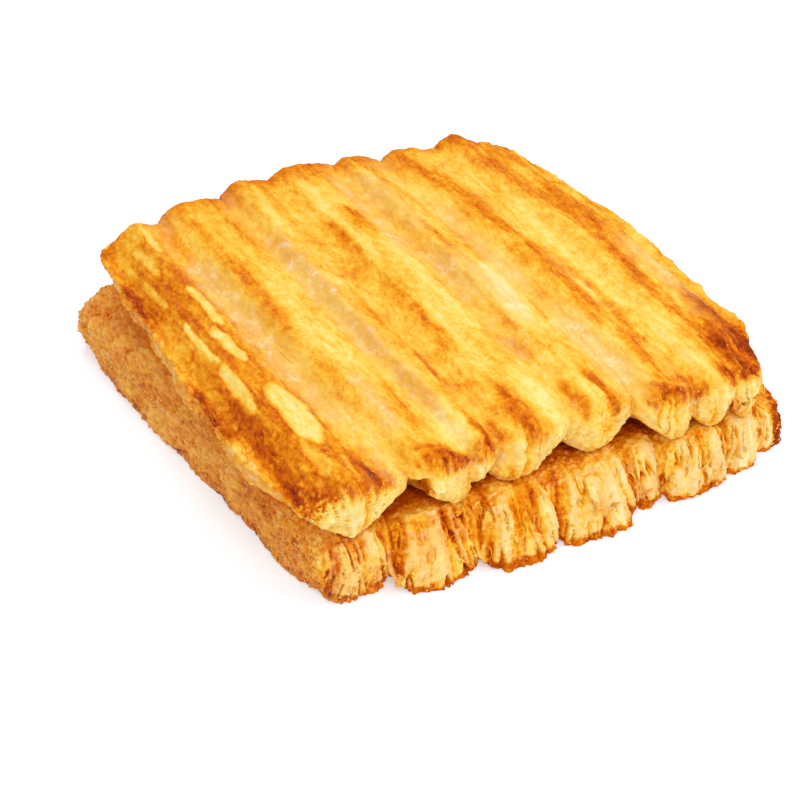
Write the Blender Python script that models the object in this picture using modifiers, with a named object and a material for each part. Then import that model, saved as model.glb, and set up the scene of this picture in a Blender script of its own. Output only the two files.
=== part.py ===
"""Filled palmier: two slabs of puff-pastry ribbons baked side by side, with a thin sheet of filling between.

The ribbons run along Y and lie next to each other along X. The lower slab rests on the plane z = 0.
Lengths in the tables are millimetres, which the builders turn into metres when they place a point.
"""

import math
from typing import NamedTuple

import bmesh
import bpy
from mathutils import Matrix, Vector

MM = 0.001

# How finely a ribbon and a leaf are divided.
RIBBON_SIDES = 16
RIBBON_RINGS = 13
LEAF_SIDES = 6
LEAF_RINGS = 4
# Distances from a ribbon's tip of the rings that round its two noses.
NOSE_STEPS = (0.0, 0.5, 1.9, 4.2, 7.5)

SEAM_OVERLAP = 1.0      # how far neighbouring ribbons bake into each other
SECTION_POWER = 3.8     # 2 is an ellipse, larger is squarer
SIDE_NOSE = 3.6         # length over which a ribbon thins to its tip
NOSE_POWER = 2.3
EDGE_WIDTH = 9.0        # width of the zone at a slab's side where its top droops
WANDER = 0.5            # how far a seam strays from its line
SWELL_SKEW = 0.3        # how much the sides swell more towards the front than the back
TRAY_CUT = 1.2          # dough below the tray plane, which the flat base cuts away
LEAF_RELIEF = 0.65      # how far a leaf stands out of its end face
LEAF_ROOT = 2.2         # how deep a leaf is rooted behind that face
LEAF_FAN = 0.12         # how much wider the leaves spread at their foot than at mid height
FILLING_GAP = 0.35      # clearance between the filling and each slab


class Slab(NamedTuple):
    """One baked slab. Seams run from the left side to the right, ribbons lie between them."""

    name: str
    seams_front: tuple      # x of each seam at the front ends
    seams_back: tuple       # x of each seam at the back ends
    bulge_left: float       # how far the left side swells at mid length
    bulge_right: float      # how far the right side swells at mid length
    reach_front: tuple      # distance from the slab's middle to each ribbon's front tip
    reach_back: tuple       # distance from the slab's middle to each ribbon's back tip
    crest_front: tuple      # top of each ribbon at its front end
    crest_middle: tuple     # top of each ribbon at mid length
    crest_back: tuple       # top of each ribbon at its back end
    belly: float            # underside
    flare: tuple            # how much further each front end reaches at its foot than at its top
    droop: tuple            # how far the top falls at the slab's left side and at its right
    lift: tuple             # how far the underside rises at the left side and at the right
    shingle: float          # drop across a ribbon from its left edge to its right
    back_lift: tuple        # how far the underside of each ribbon rises towards its back end
    plan_nose: float        # length over which a ribbon narrows to its tip
    leaf_pitch: float       # width of one leaf on the end faces
    centre: tuple           # the slab's middle on the plane z = 0
    turn: float             # rotation about Z, in degrees
    colour: tuple


LOWER = Slab(
    name="lower_pastry",
    seams_front=(-50.4, -37.4, -20.4, -5.4, 13.1, 19.6, 34.0, 43.6, 51.2),
    seams_back=(-51.0, -37.5, -21.5, -7.0, 8.5, 19.0, 32.0, 42.5, 51.5),
    bulge_left=1.0,
    bulge_right=1.2,
    reach_front=(52.2, 57.6, 60.3, 60.3, 56.2, 58.2, 55.4, 52.2),
    reach_back=(55.0, 57.0, 58.8, 57.6, 55.6, 58.0, 56.4, 54.0),
    crest_front=(12.4, 12.5, 12.6, 12.5, 11.8, 12.6, 12.0, 10.0),
    crest_middle=(12.3, 12.1, 12.0, 12.0, 11.9, 12.0, 12.2, 12.2),
    crest_back=(12.4, 12.3, 12.5, 12.4, 12.0, 12.5, 12.3, 11.9),
    belly=-TRAY_CUT,
    flare=(1.5, 6.0, 7.0, 6.5, 3.5, 2.5, 1.5, 1.0),
    droop=(0.8, 2.6),
    lift=(0.0, 0.0),
    shingle=0.0,
    back_lift=(0.0,) * 8,
    plan_nose=4.6,
    leaf_pitch=4.3,
    centre=(2.6, 1.5),
    turn=3.0,
    colour=(0.80, 0.47, 0.14),
)

UPPER = Slab(
    name="upper_pastry",
    seams_front=(-47.6, -28.6, -16.6, -9.8, 4.5, 19.5, 30.7, 40.3, 46.8),
    seams_back=(-46.0, -33.4, -18.4, -7.0, 7.6, 17.0, 31.6, 40.2, 45.6),
    bulge_left=3.6,
    bulge_right=6.0,
    reach_front=(52.2, 52.0, 51.2, 51.4, 50.2, 53.4, 53.0, 52.2),
    reach_back=(50.6, 52.2, 54.6, 55.4, 53.8, 52.0, 53.0, 50.4),
    crest_front=(23.2, 24.2, 24.4, 24.8, 24.8, 24.4, 23.9, 23.0),
    crest_middle=(25.2, 26.4, 27.0, 27.4, 27.5, 27.0, 26.2, 24.6),
    crest_back=(26.6, 27.0, 27.3, 27.3, 27.0, 26.5, 26.3, 25.7),
    belly=13.0,
    flare=(-1.5, -1.8, -1.6, -1.2, -1.5, -1.5, -1.2, -1.0),
    droop=(3.6, 2.0),
    lift=(1.6, 0.8),
    shingle=1.4,
    back_lift=(4.0, 3.0, 1.6, 0.6, 0.4, 0.6, 1.0, 1.6),
    plan_nose=6.5,
    leaf_pitch=7.0,
    centre=(0.6, 0.5),
    turn=0.0,
    colour=(0.90, 0.60, 0.20),
)

# The sheet of filling: half its length and width, its faces, and the waves of its edge.
FILLING_CENTRE = (1.5, 1.0)
FILLING_HALF_WIDTH = 39.5
FILLING_HALF_LENGTH = 42.0
FILLING_FLOOR = 12.6 + FILLING_GAP
FILLING_TOP = 14.6
FILLING_SQUARENESS = 0.38
FILLING_WAVES = ((7, 0.8, 0.4), (13, 0.5, 1.9))     # count round the edge, height, phase
FILLING_SIDES = 72
FILLING_COLOUR = (0.45, 0.14, 0.02)


def clear_scene():
    """Removes whatever the scene starts with."""
    for obj in list(bpy.data.objects):
        bpy.data.objects.remove(obj, do_unlink=True)


def collection(name):
    """A new collection linked to the scene."""
    made = bpy.data.collections.new(name)
    bpy.context.scene.collection.children.link(made)
    return made


def finish_of(name, colour, roughness):
    """A Principled material of one colour."""
    made = bpy.data.materials.new(name)
    made.use_nodes = True
    shader = made.node_tree.nodes["Principled BSDF"]
    shader.inputs["Base Color"].default_value = (*colour, 1.0)
    shader.inputs["Roughness"].default_value = roughness
    return made


def signed_power(value, power):
    """value raised to power, keeping its sign."""
    return math.copysign(abs(value) ** power, value)


def nose(distance, length):
    """Share of the full section left at this distance from a tip: 0 at the tip, 1 past length."""
    short = max(0.0, 1.0 - distance / length)
    return (1.0 - short**NOSE_POWER) ** (1.0 / NOSE_POWER)


def smooth_step(value, low, high):
    """0 below low, 1 above high, and a smooth rise between."""
    share = min(1.0, max(0.0, (value - low) / (high - low)))
    return share * share * (3.0 - 2.0 * share)


def seam_x(slab, seam, along):
    """x of a seam at along, which runs from -1 at the front to 1 at the back."""
    share = (along + 1.0) / 2.0
    straight = slab.seams_front[seam] * (1.0 - share) + slab.seams_back[seam] * share
    across = seam / (len(slab.seams_front) - 1)
    swell = slab.bulge_right * across**3 - slab.bulge_left * (1.0 - across) ** 3
    stray = WANDER * math.sin(4.1 * along + 2.3 * seam + slab.centre[0])
    return straight + (swell * (1.0 - SWELL_SKEW * along) + stray) * (1.0 - along * along)


def crest_z(slab, ribbon, along):
    """Height of a ribbon's top, bowed from its middle down to its two ends."""
    end = slab.crest_front[ribbon] if along < 0.0 else slab.crest_back[ribbon]
    middle = slab.crest_middle[ribbon]
    return middle + (end - middle) * along * along


def side_share(slab, x, along):
    """How near x is to the slab's left side and to its right: 1 at a side, 0 from EDGE_WIDTH inwards."""
    left = seam_x(slab, 0, along)
    right = seam_x(slab, len(slab.seams_front) - 1, along)
    return 1.0 - smooth_step(x - left, 0.0, EDGE_WIDTH), 1.0 - smooth_step(right - x, 0.0, EDGE_WIDTH)


def ribbon_y(slab, ribbon, ring):
    """y of a ring of the ribbon, closely spaced at the two noses and evenly between them."""
    front = -slab.reach_front[ribbon]
    back = slab.reach_back[ribbon]
    last = len(NOSE_STEPS) - 1
    if ring <= last:
        return front + NOSE_STEPS[ring]
    if ring >= RIBBON_RINGS - last:
        return back - NOSE_STEPS[RIBBON_RINGS - ring]
    share = (ring - last) / (RIBBON_RINGS - 2 * last)
    start = front + NOSE_STEPS[last]
    end = back - NOSE_STEPS[last]
    return start + (end - start) * share


def front_lean(slab, ribbon, along, up):
    """How far a point of the front end is set back, which grows evenly from the foot, up = -1, to the top, up = 1."""
    return slab.flare[ribbon] * smooth_step(-along, 0.7, 1.0) * (1.0 + up) / 2.0


def ribbon_point(slab, ribbon, y, across, up):
    """A point of the ribbon at y. across and up run from -1 to 1 over the section at that y."""
    front = -slab.reach_front[ribbon]
    back = slab.reach_back[ribbon]
    along = 2.0 * (y - front) / (back - front) - 1.0
    from_tip = max(0.0, min(y - front, back - y))
    left = seam_x(slab, ribbon, along)
    right = seam_x(slab, ribbon + 1, along)
    top = crest_z(slab, ribbon, along)
    belly = slab.belly + slab.back_lift[ribbon] * smooth_step(along, 0.2, 1.0)
    half_width = ((right - left) / 2.0 + SEAM_OVERLAP) * nose(from_tip, slab.plan_nose)
    tall = nose(from_tip, SIDE_NOSE)
    half_height = (top - belly) / 2.0 * tall
    x = (left + right) / 2.0 + half_width * across
    z = (top + belly) / 2.0 + half_height * up
    at_left, at_right = side_share(slab, x, along)
    if up > 0.0:
        z -= (slab.shingle * across / 2.0 + slab.droop[0] * at_left + slab.droop[1] * at_right) * up
    else:
        z -= (slab.lift[0] * at_left + slab.lift[1] * at_right) * up
    return Vector((x, y + front_lean(slab, ribbon, along, up * tall), z))


def ribbon_mesh(slab, ribbon):
    """A ribbon of dough: a ball with its poles on Y, its rings stretched into squared ellipses."""
    bm = bmesh.new()
    turned = Matrix.Rotation(math.pi / 2, 4, "X")
    bmesh.ops.create_uvsphere(bm, u_segments=RIBBON_SIDES, v_segments=RIBBON_RINGS, radius=1.0, matrix=turned)
    for vertex in bm.verts:
        ring = round((math.asin(max(-1.0, min(1.0, vertex.co.y))) / math.pi + 0.5) * RIBBON_RINGS)
        angle = math.atan2(vertex.co.z, vertex.co.x)
        across = signed_power(math.cos(angle), 2.0 / SECTION_POWER)
        up = signed_power(math.sin(angle), 2.0 / SECTION_POWER)
        vertex.co = ribbon_point(slab, ribbon, ribbon_y(slab, ribbon, ring), across, up) * MM
    return bm


def tip_distance(slab, across, up):
    """How far behind the tip the end face lies, at these shares of the ribbon's full width and height."""
    low, high = 0.0, slab.plan_nose
    for _ in range(24):
        middle = (low + high) / 2.0
        wide = abs(across) / max(nose(middle, slab.plan_nose), 1e-4)
        tall = abs(up) / max(nose(middle, SIDE_NOSE), 1e-4)
        if wide**SECTION_POWER + tall**SECTION_POWER > 1.0:
            low = middle
        else:
            high = middle
    return high


def leaf_mesh(slab, ribbon, end, share, relief):
    """One leaf of the fan on an end face: an upright almond that follows the face from foot to top."""
    front = -slab.reach_front[ribbon]
    back = slab.reach_back[ribbon]
    along = end * 0.96
    left = seam_x(slab, ribbon, along)
    right = seam_x(slab, ribbon + 1, along)
    half_width = (right - left) / 2.0 + SEAM_OVERLAP
    bm = bmesh.new()
    bmesh.ops.create_uvsphere(bm, u_segments=LEAF_SIDES, v_segments=LEAF_RINGS, radius=1.0)
    for vertex in bm.verts:
        side, out, up = vertex.co.x, vertex.co.y * end, vertex.co.z * 0.86
        across = max(-0.93, min(0.93, share * (1.0 - LEAF_FAN * up)))
        behind = tip_distance(slab, across, up)
        tip = front + behind if end < 0 else back - behind
        full_up = up / max(nose(behind, SIDE_NOSE), 0.2)
        point = ribbon_point(slab, ribbon, tip, across, full_up)
        point.x = (left + right) / 2.0 + half_width * across + side * slab.leaf_pitch * 0.34
        point.y += end * out * (relief if out > 0.0 else LEAF_ROOT)
        vertex.co = point * MM
    return bm


def leaves_of(slab, ribbon):
    """The leaves of both ends of a ribbon, spread across it, every second one standing out less."""
    width = slab.seams_front[ribbon + 1] - slab.seams_front[ribbon]
    count = max(1, round(width / slab.leaf_pitch))
    for end in (-1, 1):
        for leaf in range(count):
            share = (2.0 * leaf + 1.0) / count - 1.0
            relief = LEAF_RELIEF * (1.0 if (leaf + ribbon) % 2 else 0.7)
            yield leaf_mesh(slab, ribbon, end, share, relief)


def object_from(bm, name, holder):
    """Turns a bmesh into an object of a collection."""
    mesh = bpy.data.meshes.new(name)
    bm.to_mesh(mesh)
    bm.free()
    obj = bpy.data.objects.new(name, mesh)
    holder.objects.link(obj)
    return obj


def apply_modifiers(obj):
    """Replaces the object's mesh by what its modifiers make of it."""
    graph = bpy.context.evaluated_depsgraph_get()
    made = bpy.data.meshes.new_from_object(obj.evaluated_get(graph))
    obj.modifiers.clear()
    obj.data = made


def fuse(obj, others):
    """Joins every object of a collection to obj in one union, and removes them."""
    union = obj.modifiers.new("fuse", "BOOLEAN")
    union.operation = "UNION"
    union.operand_type = "COLLECTION"
    union.collection = others
    union.solver = "MANIFOLD"
    apply_modifiers(obj)
    for other in list(others.objects):
        bpy.data.objects.remove(other, do_unlink=True)
    bpy.data.collections.remove(others)


def cut_away(obj, bm, name):
    """Cuts a closed form out of the object and removes the form."""
    cutter = object_from(bm, name, bpy.context.scene.collection)
    cut = obj.modifiers.new(name, "BOOLEAN")
    cut.operation = "DIFFERENCE"
    cut.object = cutter
    cut.solver = "MANIFOLD"
    apply_modifiers(obj)
    bpy.data.objects.remove(cutter, do_unlink=True)


def tray_mesh():
    """A block whose top is the tray plane z = 0."""
    bm = bmesh.new()
    bmesh.ops.create_cube(bm, size=1.0)
    bmesh.ops.scale(bm, vec=Vector((200.0, 200.0, 20.0)) * MM, verts=bm.verts)
    bmesh.ops.translate(bm, vec=Vector((0.0, 0.0, -10.0)) * MM, verts=bm.verts)
    return bm


def make_slab(slab, holder):
    """One slab: its ribbons and the leaves of their ends, fused into one solid and turned into place."""
    pieces = collection(slab.name + "_pieces")
    obj = object_from(ribbon_mesh(slab, 0), slab.name, holder)
    for ribbon in range(len(slab.reach_front)):
        if ribbon > 0:
            object_from(ribbon_mesh(slab, ribbon), "ribbon", pieces)
        for leaf in leaves_of(slab, ribbon):
            object_from(leaf, "leaf", pieces)
    fuse(obj, pieces)
    obj.location = Vector((*slab.centre, 0.0)) * MM
    obj.rotation_euler.z = math.radians(slab.turn)
    obj.data.materials.clear()
    obj.data.materials.append(finish_of(slab.name, slab.colour, 0.55))
    obj.data.shade_smooth()
    obj.data.set_sharp_from_angle(angle=math.radians(40.0))
    return obj


def filling_edge(angle, grow):
    """Point of the filling's outline, a rounded rectangle with an uneven, pressed-out edge, grown all round."""
    across = signed_power(math.cos(angle), FILLING_SQUARENESS)
    along = signed_power(math.sin(angle), FILLING_SQUARENESS)
    wave = sum(height * math.sin(count * angle + phase) for count, height, phase in FILLING_WAVES)
    x = FILLING_CENTRE[0] + (FILLING_HALF_WIDTH + wave + grow) * across
    y = FILLING_CENTRE[1] + (FILLING_HALF_LENGTH + wave + grow) * along
    return Vector((x, y, 0.0)) * MM


def filling_mesh(bottom, top, grow):
    """The filling's outline between two heights, as a closed prism."""
    bm = bmesh.new()
    bmesh.ops.create_circle(bm, cap_ends=True, segments=FILLING_SIDES, radius=1.0)
    for vertex in bm.verts:
        vertex.co = filling_edge(math.atan2(vertex.co.y, vertex.co.x), grow)
        vertex.co.z = bottom * MM
    raised = bmesh.ops.extrude_face_region(bm, geom=bm.faces[:])
    lifted = [item for item in raised["geom"] if isinstance(item, bmesh.types.BMVert)]
    bmesh.ops.translate(bm, vec=Vector((0.0, 0.0, (top - bottom) * MM)), verts=lifted)
    bmesh.ops.recalc_face_normals(bm, faces=bm.faces)
    return bm


def make_filling(holder):
    """The sheet of filling, with its two rims rounded."""
    obj = object_from(filling_mesh(FILLING_FLOOR, FILLING_TOP, 0.0), "filling", holder)
    rim = obj.modifiers.new("rim", "BEVEL")
    rim.width = 0.5 * MM
    rim.segments = 2
    rim.limit_method = "ANGLE"
    rim.angle_limit = math.radians(60.0)
    obj.data.materials.append(finish_of("filling", FILLING_COLOUR, 0.25))
    return obj


def centre_on_floor(objects):
    """Moves all the solids together, so that the middle of their common box is at x = y = 0."""
    bpy.context.view_layer.update()
    points = [obj.matrix_world @ vertex.co for obj in objects for vertex in obj.data.vertices]
    middle_x = (min(p.x for p in points) + max(p.x for p in points)) / 2.0
    middle_y = (min(p.y for p in points) + max(p.y for p in points)) / 2.0
    for obj in objects:
        obj.location.x -= middle_x
        obj.location.y -= middle_y


def main():
    """Builds the filled palmier."""
    clear_scene()
    palmier = collection("filled_palmier")
    lower = make_slab(LOWER, palmier)
    cut_away(lower, tray_mesh(), "tray")
    filling = make_filling(palmier)
    upper = make_slab(UPPER, palmier)
    cut_away(upper, filling_mesh(10.0, FILLING_TOP + FILLING_GAP, FILLING_GAP), "recess")
    centre_on_floor([lower, filling, upper])


main()
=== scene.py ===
"""Dressed model of a filled palmier: two slabs of puff pastry ribbons with a sheet of caramel between them.

Tables are in millimetres in the pastry's own plan, where ribbons run along Y and lie side by side along X.
Meshes are worked out as whole numpy arrays and written in metres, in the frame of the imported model.
"""

import logging
import math
from collections.abc import Callable
from dataclasses import dataclass, field
from enum import Enum

import bpy
import numpy as np
from bpy.types import Material, Node, NodeSocket, NodeTree, Object
from mathutils import Matrix, Vector


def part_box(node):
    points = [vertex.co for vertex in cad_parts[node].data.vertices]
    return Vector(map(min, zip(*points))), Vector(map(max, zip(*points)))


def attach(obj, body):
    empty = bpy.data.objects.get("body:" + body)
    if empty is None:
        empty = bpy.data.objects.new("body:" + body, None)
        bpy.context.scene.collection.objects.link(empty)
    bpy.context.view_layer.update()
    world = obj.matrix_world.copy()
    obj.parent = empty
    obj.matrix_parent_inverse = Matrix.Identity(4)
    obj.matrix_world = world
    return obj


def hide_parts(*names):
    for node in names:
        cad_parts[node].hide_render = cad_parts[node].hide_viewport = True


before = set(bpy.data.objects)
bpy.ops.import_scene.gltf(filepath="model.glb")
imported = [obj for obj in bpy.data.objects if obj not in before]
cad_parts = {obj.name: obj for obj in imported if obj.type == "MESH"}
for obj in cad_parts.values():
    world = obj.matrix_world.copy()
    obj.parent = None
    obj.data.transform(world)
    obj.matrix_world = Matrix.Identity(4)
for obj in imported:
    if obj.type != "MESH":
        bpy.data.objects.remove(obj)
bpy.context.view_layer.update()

MM = 0.001
# Depth in metres of a material's bump.
BUMP_DISTANCE = 0.0004
LOG = logging.getLogger("filled_palmier")
Array = np.ndarray

# Middle of the lower slab's box in the plan that the tables use.
PLAN_MIDDLE = (2.663, 1.637)
# Y of the front and the back of a slab's top, between which its lengthwise lines run.
TOP_FRONT, TOP_BACK = -50.0, 50.0

# A ribbon reaches under its neighbours by the overlap, and its top dips towards and past the seam.
SEAM_OVERLAP = 1.3
SEAM_DIP = 0.12
CORNER_DIP = 1.0
CORNER_START = 0.35
# Round ends of a ribbon, and how far the slab's droop reaches in from its sides.
SIDE_NOSE = 3.6
NOSE_POWER = 2.3
NOSE_START = 0.035
EDGE_WIDTH = 9.0
# Seams swell and wander between their ends.
WANDER = 0.5
WANDER_PACE = 4.1
WANDER_STEP = 2.3
SWELL_SKEW = 0.3
# Squareness of a section: low down at the tips, then low down and high up in the middle.
LOW_TIP_POWER = 2.6
MIDDLE_POWERS = (7.0, 26.0)
# Shares of a ribbon's length over which its front end narrows, sags and leans, and its back lifts.
KEEL_REACH = (0.66, 0.92)
SAG_REACH = (0.84, 1.0)
FLARE_REACH = (0.7, 1.0)
LIFT_REACH = (0.2, 1.0)
# The keel starts at this height of the section and narrows by this power below it.
KEEL_TOP = 0.25
KEEL_POWER = 1.1
# Shares of a ribbon's width over which a shingled ribbon's top rises and falls again.
RIDGE_RISE = (0.0, 0.3)
RIDGE_FALL = (0.34, 1.0)

# The lattice noise is scaled to about -1 to 1, alone and as a sum of octaves.
LATTICE_HEIGHT = 1.7
LAYERED_HEIGHT = 1.3
OCTAVE_SHIFT = 17.3
OCTAVE_SCALE = 2.03
# Half width of a slit, as a height of its noise.
SLIT_WIDTH = 0.12
STREAK_POWER = 2.4
# Toast that a browned and a burnt streak bring the top to.
STREAK_TOAST = 0.84
BURNT_TOAST = 0.92


class Tone(Enum):
    """What a streak does to the crust: browns it, burns it, leaves it pale, or leaves it clear."""

    TOAST = "toast"
    BURN = "burn"
    PALE = "pale"
    CLEAR = "clear"


class Slot(Enum):
    """Finish slots of the record."""

    UPPER = "upper_crust"
    LOWER = "lower_crust"
    FILLING = "filling"


def smooth_step(value: Array, low: float, high: float) -> Array:
    """0 below low, 1 above high, and 3t2 - 2t3 between."""
    share = np.clip((value - low) / (high - low), 0.0, 1.0)
    return share * share * (3.0 - 2.0 * share)


def blend(first: Array, second: Array, share: Array) -> Array:
    """first where share is 0, second where it is 1."""
    return first * (1.0 - share) + second * share


def bump(value: Array, middle: float, width: float) -> Array:
    """1 at the middle, and exp(-(offset / width)^2) beside it."""
    return np.exp(-(((value - middle) / width) ** 2))


def lengthwise(y: Array) -> Array:
    """0 at the front of a slab's top, 1 at its back."""
    return np.clip((y - TOP_FRONT) / (TOP_BACK - TOP_FRONT), 0.0, 1.0)


@dataclass(frozen=True)
class Grain:
    """One noise of the crust.

    Attributes:
        size: length of its largest bumps along X, Y and Z, in millimetres.
        octaves: how many layers are added, each half the size of the one before.
        gain: height of a layer over the one before.
        shift: moves the pattern, so that one lattice serves many noises.
    """

    size: tuple
    octaves: int = 1
    gain: float = 1.0
    shift: float = 0.0


@dataclass(frozen=True)
class Recipe:
    """A level made of a base and of named layers, each with its weight."""

    base: float
    weights: tuple

    def mix(self, layers: dict, **more: Array) -> Array:
        """The base plus each layer times its weight, where more holds layers beside the given ones."""
        known = {**layers, **more}
        total = self.base
        for name, weight in self.weights:
            total = total + weight * known[name]
        return total


def recipe(base: float, **weights: float) -> Recipe:
    """A recipe from its base and the weights of its layers."""
    return Recipe(base, tuple(weights.items()))


class DoughNoise:
    """Gradient noise on a lattice of 256 seeded slopes.

    Args:
        seed: picks the order of the slopes.
    """

    def __init__(self, seed: int) -> None:
        """Shuffles the lattice order and draws the slopes."""
        rng = np.random.default_rng(seed)
        self.order = np.tile(rng.permutation(256), 3)
        slopes = rng.normal(size=(256, 3))
        self.slopes = slopes / np.linalg.norm(slopes, axis=1, keepdims=True)

    def at(self, points: Array) -> Array:
        """Noise of about -1 to 1.

        Each corner of the lattice cell gives slope . (point - corner), and the eight are mixed by the
        quintic 6t5 - 15t4 + 10t3 along each axis.

        Args:
            points: places, three numbers each, in lattice units.
        Returns:
            one number for each place.
        """
        cell = np.floor(points).astype(np.int64)
        part = points - cell
        ease = part * part * part * (part * (part * 6.0 - 15.0) + 10.0)
        cell &= 255
        total = np.zeros(points.shape[:-1])
        for dx in (0, 1):
            first = self.order[cell[..., 0] + dx]
            wx = ease[..., 0] if dx else 1.0 - ease[..., 0]
            for dy in (0, 1):
                second = self.order[first + cell[..., 1] + dy]
                wy = ease[..., 1] if dy else 1.0 - ease[..., 1]
                for dz in (0, 1):
                    slope = self.slopes[self.order[second + cell[..., 2] + dz] & 255]
                    wz = ease[..., 2] if dz else 1.0 - ease[..., 2]
                    lean = (
                        slope[..., 0] * (part[..., 0] - dx)
                        + slope[..., 1] * (part[..., 1] - dy)
                        + slope[..., 2] * (part[..., 2] - dz)
                    )
                    total += wx * wy * wz * lean
        return total * LATTICE_HEIGHT

    def plain(self, points: Array, grain: Grain, move: float = 0.0) -> Array:
        """A grain's first octave alone, its pattern shifted further by move."""
        return self.at(points / np.array(grain.size) + (grain.shift + move))

    def layered(self, points: Array, grain: Grain, move: float = 0.0) -> Array:
        """Sum of a grain's octaves.

        Args:
            points: places in millimetres.
            grain: sizes and heights of the octaves.
            move: shifts the pattern further.
        Returns:
            about -1 to 1.
        """
        scaled = points / np.array(grain.size) + (grain.shift + move)
        total, height, whole = 0.0, 1.0, 0.0
        for octave in range(grain.octaves):
            total = total + height * self.at(scaled + OCTAVE_SHIFT * octave)
            whole += height
            scaled = scaled * OCTAVE_SCALE
            height *= grain.gain
        return total / whole * LAYERED_HEIGHT

    def layers(self, points: Array, grains: dict) -> dict:
        """The noise of each named grain at the same places."""
        return {name: self.layered(points, grain) for name, grain in grains.items()}


@dataclass(frozen=True)
class Streak:
    """A listed streak on a slab's top: a line in plan with a width and a strength."""

    tone: Tone
    path: tuple
    width: float
    strength: float

    def cover(self, x: Array, y: Array) -> Array:
        """Strength at each place: exp(-(distance / width)^2.4) from the nearest point of the line.

        Where the line runs along Y, distance along Y counts two fifths, so that its ends taper.
        """
        run_x = abs(self.path[-1][0] - self.path[0][0])
        run_y = abs(self.path[-1][1] - self.path[0][1])
        squeeze = 0.4 if run_y > run_x else 1.0
        nearest = np.full(x.shape, 1e9)
        starts = self.path if len(self.path) == 1 else self.path[:-1]
        ends = self.path if len(self.path) == 1 else self.path[1:]
        for (x0, y0), (x1, y1) in zip(starts, ends):
            ax, ay = x1 - x0, (y1 - y0) * squeeze
            bx, by = x - x0, (y - y0) * squeeze
            share = np.clip((bx * ax + by * ay) / (ax * ax + ay * ay + 1e-9), 0.0, 1.0)
            nearest = np.minimum(nearest, np.hypot(bx - ax * share, by - ay * share))
        return self.strength * np.exp(-((nearest / self.width) ** STREAK_POWER))


@dataclass(frozen=True)
class Valley:
    """A long hollow between two ridges of a slab's top, from its front to its back."""

    x_front: float
    x_back: float
    width: float
    depth: float
    clearness: float

    def fall(self, x: Array, y: Array) -> Array:
        """Share of the depth at each place, 1 on the hollow's line."""
        return bump(x, blend(self.x_front, self.x_back, lengthwise(y)), self.width)


def lines(tone: Tone, *rows: tuple) -> tuple:
    """Streaks of one tone from rows of (width, strength, x0, y0, x1, y1, ...)."""
    return tuple(
        Streak(tone, tuple(zip(row[2::2], row[3::2])), row[0], row[1]) for row in rows
    )


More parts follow.
